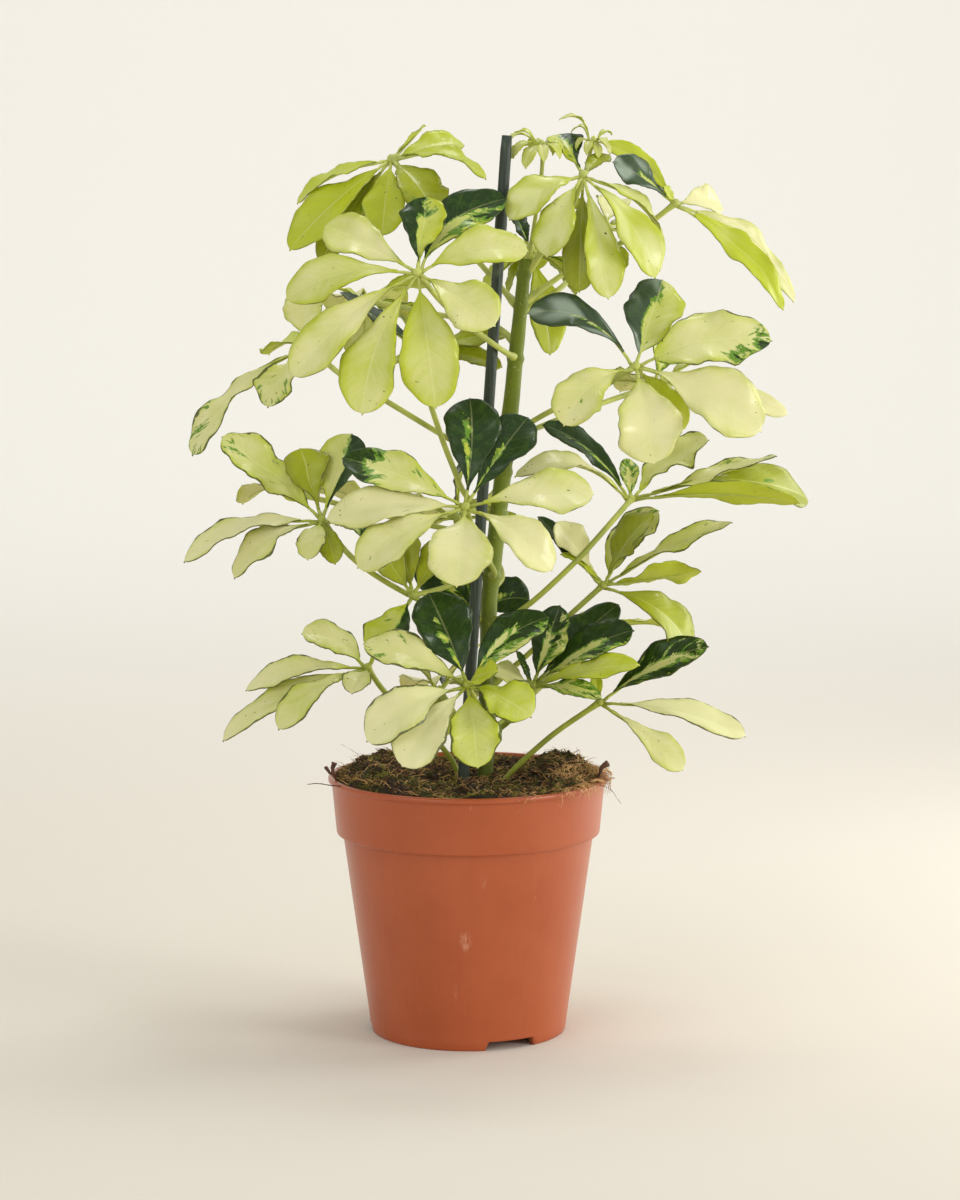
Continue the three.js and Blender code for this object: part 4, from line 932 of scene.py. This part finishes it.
pot_mesh = bmesh.new()
spin_profile(pot_mesh, outside + inside, POT_STEPS)
for vert in pot_mesh.verts:
    x, y, z = vert.co / MM
    radius, angle = math.hypot(x, y), math.degrees(math.atan2(y, x))
    from_notch = min(abs((angle - centre + 180) % 360 - 180) for centre in NOTCH_ANGLES)
    if radius > FOOT_RADIUS - 4 and z < 4.5 and from_notch < NOTCH_HALF_ANGLE:
        vert.co.z = NOTCH_HEIGHT * MM
    if z > 6 and radius > 45:  # the thin wall isn't perfectly round
        vert.co.x *= 1 + 0.0012 * math.sin(2 * math.radians(angle))
bmesh.ops.remove_doubles(pot_mesh, verts=pot_mesh.verts[:], dist=MERGE)
bmesh.ops.dissolve_degenerate(pot_mesh, edges=pot_mesh.edges[:], dist=MERGE)
print("spun faces", len(pot_mesh.faces))

# %% [markdown]
# Eight drain holes go through the floor. The faces whose middles lie inside a hole's circle are
# taken away, and the edges left open are pushed out to the circle and joined. A Boolean modifier
# could cut them too, but this keeps the mesh even and surely closed.

# %% Drain holes
def cut_drain(bm, angle):
    """Opens the floor's two faces inside a circle, rounds both openings and joins them by a wall."""
    middle = Vector((math.cos(angle), math.sin(angle))) * DRAIN_CIRCLE
    inside = []
    for face in bm.faces:
        centre = face.calc_center_median() / MM
        in_floor = abs(centre.z - FLOOR_LIFT - WALL / 2) < WALL / 2 + 0.5
        if in_floor and (centre.xy - middle).length < DRAIN_RADIUS:
            inside.append(face)
    bmesh.ops.delete(bm, geom=inside, context="FACES")
    rim = [e for e in bm.edges if e.is_boundary]
    for vert in {v for e in rim for v in e.verts}:
        out = (vert.co.xy / MM - middle).normalized() * DRAIN_RADIUS
        vert.co.x, vert.co.y = (middle.x + out.x) * MM, (middle.y + out.y) * MM
    bmesh.ops.bridge_loops(bm, edges=rim)


for i in range(DRAIN_COUNT):
    cut_drain(pot_mesh, 2 * math.pi * (i + 0.5) / DRAIN_COUNT)
bmesh.ops.recalc_face_normals(pot_mesh, faces=pot_mesh.faces[:])
print("open edges", sum(not e.is_manifold for e in pot_mesh.edges))

# %% [markdown]
# The pot's plastic is polypropylene: satin to the touch, with a soft shine, faint flow marks from
# the mould, dust, and a few pale scuffs.

# %% Pot plastic
# Pale rubbed places on the front: middle, reach along X, Y and Z, and strength
WEAR_MARKS = [
    ((-1, -57, 57), (4.2, 9, 6.5), 0.6),
    ((7.4, -61, 89), (2.2, 9, 7), 0.22),
    ((-6, -54, 31), (1.3, 9, 6), 0.15),
    ((33, -50, 77), (0.8, 9, 0.8), 0.9),
]


def moulded_pot_plastic():
    """Satin polypropylene: faint flow marks from the mould, dust and a few scuffs."""
    made, add, shader = new_material("satin_terracotta_polypropylene")
    place = add("TexCoord", out="Object")
    colour, cloud = noise_coat(add, place, linear("#a84b1c"), "#b05324", (0.3, 0.75),
                               Scale=22.0, Detail=5.0, Roughness=0.6)
    upright = add("Mapping", place, Scale=(260, 260, 9))
    colour, flow = noise_coat(add, upright, colour, "#9d481f", (0.45, 0.8, 0.0, 0.25),
                              Scale=1.0, Detail=3.0)
    tilted = add("Mapping", place, Scale=(300, 300, 70), Rotation=(0.2, 0.5, 0.1))
    scuff = add("TexNoise", tilted, Scale=1.0, Detail=6.0, Roughness=0.7)
    where = add("MapRange", add("TexNoise", place, Scale=17.0), 0.55, 0.66, 0.0, 0.7)
    scuffs = add("Math", add("MapRange", scuff, 0.66, 0.72), where)
    colour = add("Mix", scuffs, colour, linear("#d49a7c"))
    for centre, reach, strength in WEAR_MARKS:
        scale = [1 / (r * MM) for r in reach]
        shift = [-c * MM * s for c, s in zip(centre, scale)]
        moved = add("Mapping", place, Location=shift, Scale=scale)
        away = add("VectorMath", moved, operation="LENGTH")
        mark = add("Math", add("MapRange", away, 0.3, 1.0, strength, 0.0),
                   add("MapRange", scuff, 0.44, 0.60))
        colour = add("Mix", mark, colour, linear("#d9a184"))
    colour, dust = noise_coat(add, place, colour, "#7c3c28", (0.72, 0.76, 0.0, 0.5),
                              Scale=700.0, Detail=2.0)
    relief = add("Math", add("Math", flow, 0.6), add("Math", dust, 0.3), **PLUS)
    dress(shader, {"Base Color": colour, "Coat Weight": 0.24, "Coat Roughness": 0.16,
                   "Roughness": add("Math", 0.28, add("Math", cloud, 0.16), **PLUS),
                   "Normal": add("Bump", Strength=0.25, Distance=0.0005, Height=relief)})
    return made


pot = show_piece("pot_shell", pot_mesh, [moulded_pot_plastic()], ["pot"])
print("pot faces", len(pot.data.polygons))

# %% [markdown]
# ## The soil
# The soil is dark peat with clods, heaped a little at both sides. Its body is spun like the pot,
# with many rings on top, and the top's points are lifted by a layered noise, so the clods have
# real depth. Crumbs, moss and fibres then cover it as small shapes of a few faces each.

# %% Soil
SOIL_TOP = 127.0
SOIL_GAP = 0.3  # between the soil and the pot's inside
SOIL_REACH = lip_under - WALL - 0.5
TOP_RINGS, SOIL_STEPS = 64, 170
HEAP_HEIGHT, HEAP_MIDDLE, HEAP_WIDTH = 9, 50, 17


def soil_height(x, y):
    radius = math.hypot(x, y)
    to_rim = min(max((radius - 52) / 14, 0), 1) ** 2
    heap = HEAP_HEIGHT * math.exp(-((abs(x) - HEAP_MIDDLE) / HEAP_WIDTH) ** 2)
    heap = heap * (1 - 0.3 * y / 70) * (1 - to_rim) + 1.6 * max(-y / 70, 0)
    broad = 0.7 * math.sin(x / 7) + 0.6 * math.sin(y / 6 + 1) + 0.5 * math.sin((x - y) / 5)
    clods = 2.4 * noise.fractal(Vector((x, y, 3)) * 0.16, 0.9, 2.1, 4)
    clods += 0.9 * noise.noise(Vector((x, y, 9)) * 0.9)
    return SOIL_TOP + heap + broad + clods * (1 - 0.8 * to_rim) + 0.8 * to_rim


soil_mesh = bmesh.new()
soil_floor = FLOOR_LIFT + WALL + SOIL_GAP
soil_line = [(0, WALL + SOIL_GAP), (HUB_DISC - 1.4, WALL + SOIL_GAP), (HUB_DISC + 0.6, soil_floor),
             (FOOT_RADIUS - WALL - SOIL_GAP, soil_floor), (body_top - WALL - SOIL_GAP, band_z - 0.4),
             (band_low - WALL - 0.6, band_z + 1.2), (SOIL_REACH - 0.4, SOIL_TOP - 6)]
soil_line += [(SOIL_REACH * (1 - i / TOP_RINGS), SOIL_TOP) for i in range(TOP_RINGS)]
soil_line += [(0, SOIL_TOP)]
spin_profile(soil_mesh, soil_line, SOIL_STEPS)
for vert in soil_mesh.verts:
    if vert.co.z > (SOIL_TOP - 1) * MM:
        vert.co.z = soil_height(vert.co.x / MM, vert.co.y / MM) * MM
print("soil top from", round(min(soil_height(x, 0) for x in range(-60, 61))), "mm")

# %% Peat
def peat(name, dark, light, moss):
    """Damp peat: near black where its fine bump is low and brown where it is high, with green-brown
    moss in places.
    """
    made, add, shader = new_material(name)
    place = add("TexCoord", out="Object")
    colour, grit = noise_coat(add, place, linear(dark), light, (0.35, 0.72),
                              Scale=620.0, Detail=6.0, Roughness=0.75)
    colour, _ = noise_coat(add, place, colour, moss, (0.5, 0.62, 0.0, 0.75),
                           Scale=55.0, Detail=4.0)
    dress(shader, {"Base Color": colour, "Roughness": 0.92,
                   "Normal": add("Bump", Strength=0.9, Distance=0.0012, Height=grit)})
    return made


soil_finish = peat("damp_peat_soil", "#170f08", "#463018", "#34340f")
soil = show_piece("soil_body", soil_mesh, [soil_finish], ["soil"])
print("soil faces", len(soil.data.polygons))

# %% [markdown]
# ## Crumbs, moss and fibres
# Small things on the soil are scattered from one seed, so each run gives the same ground. A crumb
# is a squashed icosphere, and a fibre or a moss blade is a thin tube with three sides.

# %% Crumbs
CRUMB_BATCHES, CRUMBS_A_BATCH, CRUMB_REACH = 30, 50, 66
ground = random.Random(41)


def round_to(angle, radius):
    """The place at this angle round the pot's middle and this far out from it."""
    return radius * math.cos(angle), radius * math.sin(angle)


def spot(reach):
    """A random place on the soil, in millimetres."""
    return round_to(ground.uniform(0, 2 * math.pi), reach * math.sqrt(ground.random()))


def join_batch(whole, batch):
    """Adds a small bmesh to the whole. Many small meshes are quicker to make than one large one."""
    mesh = bpy.data.meshes.new("batch")
    batch.to_mesh(mesh)
    batch.free()
    whole.from_mesh(mesh)
    bpy.data.meshes.remove(mesh)


def crumb_batch(count):
    batch = bmesh.new()
    for _ in range(count):
        x, y = spot(CRUMB_REACH)
        size = ground.uniform(0.5, 1.7) * (1.35 if ground.random() < 0.08 else 1)
        squash = (ground.uniform(0.7, 1.4), ground.uniform(0.7, 1.3), ground.uniform(0.5, 1), 1)
        turn = Matrix.Rotation(ground.uniform(0, 6.3), 4, "Z")
        lift = Matrix.Translation(Vector((x, y, soil_height(x, y) + 0.2 * size)) * MM)
        bmesh.ops.create_icosphere(batch, subdivisions=1, radius=size * MM,
                                   matrix=lift @ turn @ Matrix.Diagonal(squash))
    return batch


crumbs = bmesh.new()
for _ in range(CRUMB_BATCHES):
    join_batch(crumbs, crumb_batch(CRUMBS_A_BATCH))
crumb_finish = peat("dry_peat_crumbs", "#281a0c", "#6b4926", "#4a4816")
crumb_piece = show_piece("soil_crumbs", crumbs, [crumb_finish], smooth=False)
print("crumbs", CRUMB_BATCHES * CRUMBS_A_BATCH)

# %% [markdown]
# A fibre wanders: at each step its heading changes a little, and it never goes under the soil.
# Moss is the same line, short and standing up. At the right some fibres hang over the pot's rim.

# %% Lines of moss and fibres
FIBRE_STEPS, FIBRE_TAPER, SOIL_EDGE = 6, 0.12, 66


def plain_fibre(name, first, second, roughness):
    made, add, shader = new_material(name)
    colour, _ = noise_coat(add, add("TexCoord", out="Object"), linear(first), second,
                           (0.35, 0.65), Scale=130.0, Detail=3.0)
    dress(shader, {"Base Color": colour, "Roughness": roughness})
    return made


def tapered(thickness):
    return [thickness * MM * (1 - FIBRE_TAPER * i) for i in range(FIBRE_STEPS + 1)]


def fibre(x, y, length, thickness, rise, curl):
    """The line of a fibre that lies on the soil, or stands up where rise is high."""
    heading = ground.uniform(0, 2 * math.pi)
    point = Vector((x, y, soil_height(x, y) - 0.6))
    path = [point * MM]
    for i in range(FIBRE_STEPS):
        heading += ground.uniform(-curl, curl)
        up = rise * (1 - i / 5) + ground.uniform(-0.15, 0.25)
        step = Vector((math.cos(heading), math.sin(heading), up)).normalized()
        point = point + step * (length / FIBRE_STEPS)
        if math.hypot(point.x, point.y) < SOIL_EDGE:
            point.z = max(point.z, soil_height(point.x, point.y) + 0.1)
        path.append(point * MM)
    return path, tapered(thickness)


def hanging_fibre(angle):
    """A fibre that comes out of the soil, lies over the rim and hangs down outside it."""
    drop, drift = ground.uniform(0.3, 2.6) ** 2, ground.gauss(0, 0.11)
    path = []
    for i in range(FIBRE_STEPS + 1):
        share = i / FIBRE_STEPS
        reach = 62 + 9.5 * min(share * 1.5, 1) + 0.5 * share
        hump = 2.6 * math.sin(math.pi * min(share * 1.2, 1))
        z = 128.5 + hump - drop * max(share - 0.6, 0) / 0.4
        turn = angle + drift * share + ground.uniform(-0.03, 0.03)
        path.append(Vector((*round_to(turn, reach), z)) * MM)
    return path, tapered(0.2)


print("a fibre has", FIBRE_STEPS, "steps")

# %% Moss
MOSS_TUFTS, MOSS_BLADES, MOSS_BATCH, MOSS_THICKNESS, MOSS_REACH = 170, 26, 400, 0.3, 64

moss_lines = []
for tuft in range(MOSS_TUFTS):
    cx, cy = spot(MOSS_REACH)
    if tuft % 3 == 0:  # every third tuft grows along the rim
        cx, cy = round_to(ground.uniform(0, 2 * math.pi), 63.5)
    stand = ground.uniform(0.4, 1.3)
    for _ in range(MOSS_BLADES):
        x, y = cx + ground.gauss(0, 2.6), cy + ground.gauss(0, 2.6)
        if math.hypot(x, y) < 66.3:
            moss_lines.append(fibre(x, y, ground.uniform(2, 5), MOSS_THICKNESS, stand, 1.3))
moss = bmesh.new()
for start in range(0, len(moss_lines), MOSS_BATCH):
    moss_batch = bmesh.new()
    sweep(moss_batch, moss_lines[start:start + MOSS_BATCH], 3)
    join_batch(moss, moss_batch)
moss_finish = plain_fibre("dry_brown_green_moss", "#948838", "#343a10", 0.85)
moss_piece = show_piece("soil_moss", moss, [moss_finish])
print("moss blades", len(moss_lines))

# %% Root fibres
FIBRES, RIGHT_FIBRES, LEFT_FIBRES, HANGING_FIBRES, FIBRE_REACH = 900, 560, 90, 90, 65

fibre_lines = []
for _ in range(FIBRES):
    x, y = spot(FIBRE_REACH)
    length, thickness = ground.uniform(3, 11), ground.uniform(0.12, 0.32)
    fibre_lines.append(fibre(x, y, length, thickness, ground.uniform(0, 1.2), 1.3))
for _ in range(RIGHT_FIBRES):
    x, y = round_to(ground.gauss(-0.35, 0.42), ground.uniform(56, 68.5))
    length, thickness = ground.uniform(3, 9), ground.uniform(0.14, 0.34)
    fibre_lines.append(fibre(x, y, length, thickness, ground.uniform(0, 1.1), 1.5))
for _ in range(LEFT_FIBRES):
    x, y = round_to(ground.uniform(2.9, 4.0), 63)
    fibre_lines.append(fibre(x, y, ground.uniform(3, 9), 0.14, ground.uniform(0.3, 1.2), 1.4))
for _ in range(HANGING_FIBRES):
    fibre_lines.append(hanging_fibre(ground.gauss(-0.45, 0.35)))
fibres = bmesh.new()
sweep(fibres, fibre_lines, 3)
fibre_finish = plain_fibre("straw_coloured_root_fibre", "#e6b778", "#8c5c2e", 0.7)
fibre_piece = show_piece("soil_fibres", fibres, [fibre_finish])
print("fibres", len(fibre_lines))

# %% Twigs and hairs
# What stands out singly: two dry buds, one of them forked, a twig and four long hairs, each with
# the points of its line and its radii
SINGLE_TWIGS = [
    ([(-63, -16, 126), (-66, -18, 131), (-67, -19, 135), (-66, -19, 138.5)], [0.7, 0.6, 0.9, 1.5]),
    ([(-66, -18, 131), (-69, -19, 134), (-70.5, -19, 136.5)], [0.5, 0.7, 1.0]),
    ([(62, -18, 127), (65, -20, 133), (66, -20, 136), (69, -21, 138.5)], [0.8, 0.7, 1.1, 1.7]),
    ([(-58, -30, 128), (-67, -32, 129.3), (-73, -33, 130.4), (-79, -33, 130)],
     [0.34, 0.28, 0.24, 0.14]),
]
LONG_HAIRS = [
    ([(-44, -30, 131), (-47, -31, 138), (-54, -32, 145), (-62, -33, 150)], [0.12, 0.12, 0.1, 0.07]),
    ([(-40, -20, 132), (-38, -22, 139), (-30, -24, 142), (-26, -24, 138)], [0.12, 0.12, 0.1, 0.07]),
    ([(50, -10, 132), (54, -11, 139), (54, -12, 145)], [0.12, 0.1, 0.07]),
    ([(60, -30, 130), (69, -33, 128), (75, -36, 121)], [0.14, 0.12, 0.08]),
]
TWIG_STEPS, TWIG_SIDES, HAIR_SIDES = 12, 9, 5


def single_lines(rows):
    """Each row's points, smoothed, with its few radii spread evenly along them."""
    lines = []
    for points, radii in rows:
        spread = []
        for i in range(TWIG_STEPS + 1):
            place = i / TWIG_STEPS * (len(radii) - 1)
            k = min(int(place), len(radii) - 2)
            spread.append((radii[k] + (radii[k + 1] - radii[k]) * (place - k)) * MM)
        lines.append((smooth_path(points, TWIG_STEPS), spread))
    return lines


twigs = bmesh.new()
sweep(twigs, single_lines(SINGLE_TWIGS), TWIG_SIDES)
sweep(twigs, single_lines(LONG_HAIRS), HAIR_SIDES)
for vert in twigs.verts:
    vert.co += Vector((1, 1, 1)) * 0.25 * MM * noise.noise(vert.co * 1400)
twig_finish = plain_fibre("dry_reddish_brown_twig", "#6b4430", "#3a2418", 0.7)
twig_piece = show_piece("soil_twigs", twigs, [twig_finish])
cover = (crumb_piece, moss_piece, fibre_piece, twig_piece)
print("ground cover faces", sum(len(piece.data.polygons) for piece in cover))

# %% [markdown]
# ## Stage and light
# The plant stands on a plain pale sheet that curves up behind it, as in a small studio. The sheet
# has painted shade: its colour is a little darker near the lamps, towards the front, which evens
# its light out. A key lamp at the right and a wide fill lamp at the left light the front. A narrow
# lamp behind the pot at the right draws its edge, one above the wall brightens the background, and
# a small one shines from above. The world gives the rest.

# %% Stage
FLOOR_FRONT, HALF_STAGE, BEND_START, BEND_RADIUS, BEND_STEPS, WALL_TOP = -3.2, 4.0, 2.1, 0.9, 24, 3.4

stage_mesh = bmesh.new()
bend = [math.pi / 2 * i / BEND_STEPS for i in range(BEND_STEPS + 1)]
stage_line = [(FLOOR_FRONT, 0)]
stage_line += [(BEND_START + BEND_RADIUS * math.sin(a), BEND_RADIUS - BEND_RADIUS * math.cos(a))
               for a in bend]
stage_line += [(BEND_START + BEND_RADIUS, WALL_TOP)]
stage_verts = [stage_mesh.verts.new((-HALF_STAGE, y, z)) for y, z in stage_line]
stage_edges = [stage_mesh.edges.new(pair) for pair in zip(stage_verts, stage_verts[1:])]
wide = bmesh.ops.extrude_edge_only(stage_mesh, edges=stage_edges)["geom"]
wide_verts = [g for g in wide if isinstance(g, bmesh.types.BMVert)]
bmesh.ops.translate(stage_mesh, vec=(2 * HALF_STAGE, 0, 0), verts=wide_verts)
backdrop_mesh = bpy.data.meshes.new("backdrop")
stage_mesh.to_mesh(backdrop_mesh)
stage_mesh.free()
backdrop_mesh.shade_smooth()
backdrop = bpy.data.objects.new("backdrop", backdrop_mesh)
bpy.context.scene.collection.objects.link(backdrop)
paper, add, paper_shader = new_material("matt_cream_backdrop_paper")
# Painted shade: the paper's colour darkens towards the front, where the lamps light it most
depth = add("SeparateXYZ", add("TexCoord", out="Object"), out="Y")
further = add("MapRange", depth, 0.1, 2.4)
paper_colour_and_painted_shade = add("Mix", further, linear("#e0d9cc"), linear("#fbf8f1"))
dress(paper_shader, {"Base Color": paper_colour_and_painted_shade, "Roughness": 0.95, "Specular IOR Level": 0.1})
backdrop_mesh.materials.append(paper)
print("stage points", len(backdrop_mesh.vertices))

# %% Lights
WORLD_COLOUR, WORLD_STRENGTH = (0.99, 0.995, 0.98, 1), 0.615


def soft_lamp(name, place, aim, size, watts, colour):
    data = bpy.data.lights.new(name, "AREA")
    data.shape, data.size, data.size_y = "RECTANGLE", *size
    data.energy, data.color = watts, colour
    lamp = bpy.data.objects.new(name, data)
    lamp.location = place
    lamp.rotation_euler = (Vector(aim) - Vector(place)).to_track_quat("-Z", "Y").to_euler()
    bpy.context.scene.collection.objects.link(lamp)


soft_lamp("key_lamp", (2.0, -1.05, 0.66), (0, 0, 0.22), (0.8, 0.8), 20.5, (1.0, 0.99, 0.975))
soft_lamp("fill_lamp", (-1.6, -2.2, 1.3), (0, 0, 0.25), (2.2, 1.8), 17, (1.0, 1.0, 1.0))
soft_lamp("edge_lamp", (0.8, 0.32, 0.3), (0, 0, 0.1), (0.4, 0.9), 4.2, (1.0, 0.99, 0.97))
soft_lamp("wall_lamp", (0, 1.6, 2.4), (0, 2.9, 0.4), (3.0, 0.6), 11, (1.0, 0.995, 0.99))
soft_lamp("top_lamp", (0.25, 0.45, 1.9), (0, 0, 0.3), (0.5, 0.5), 7, (1.0, 1.0, 1.0))
world = bpy.data.worlds.new("soft_room")
bpy.context.scene.world = world
world.use_nodes = True
dress(world.node_tree.nodes["Background"], {"Color": WORLD_COLOUR, "Strength": WORLD_STRENGTH})
bpy.context.scene.view_settings.view_transform = "Standard"
print("lamps", len(bpy.data.lights))
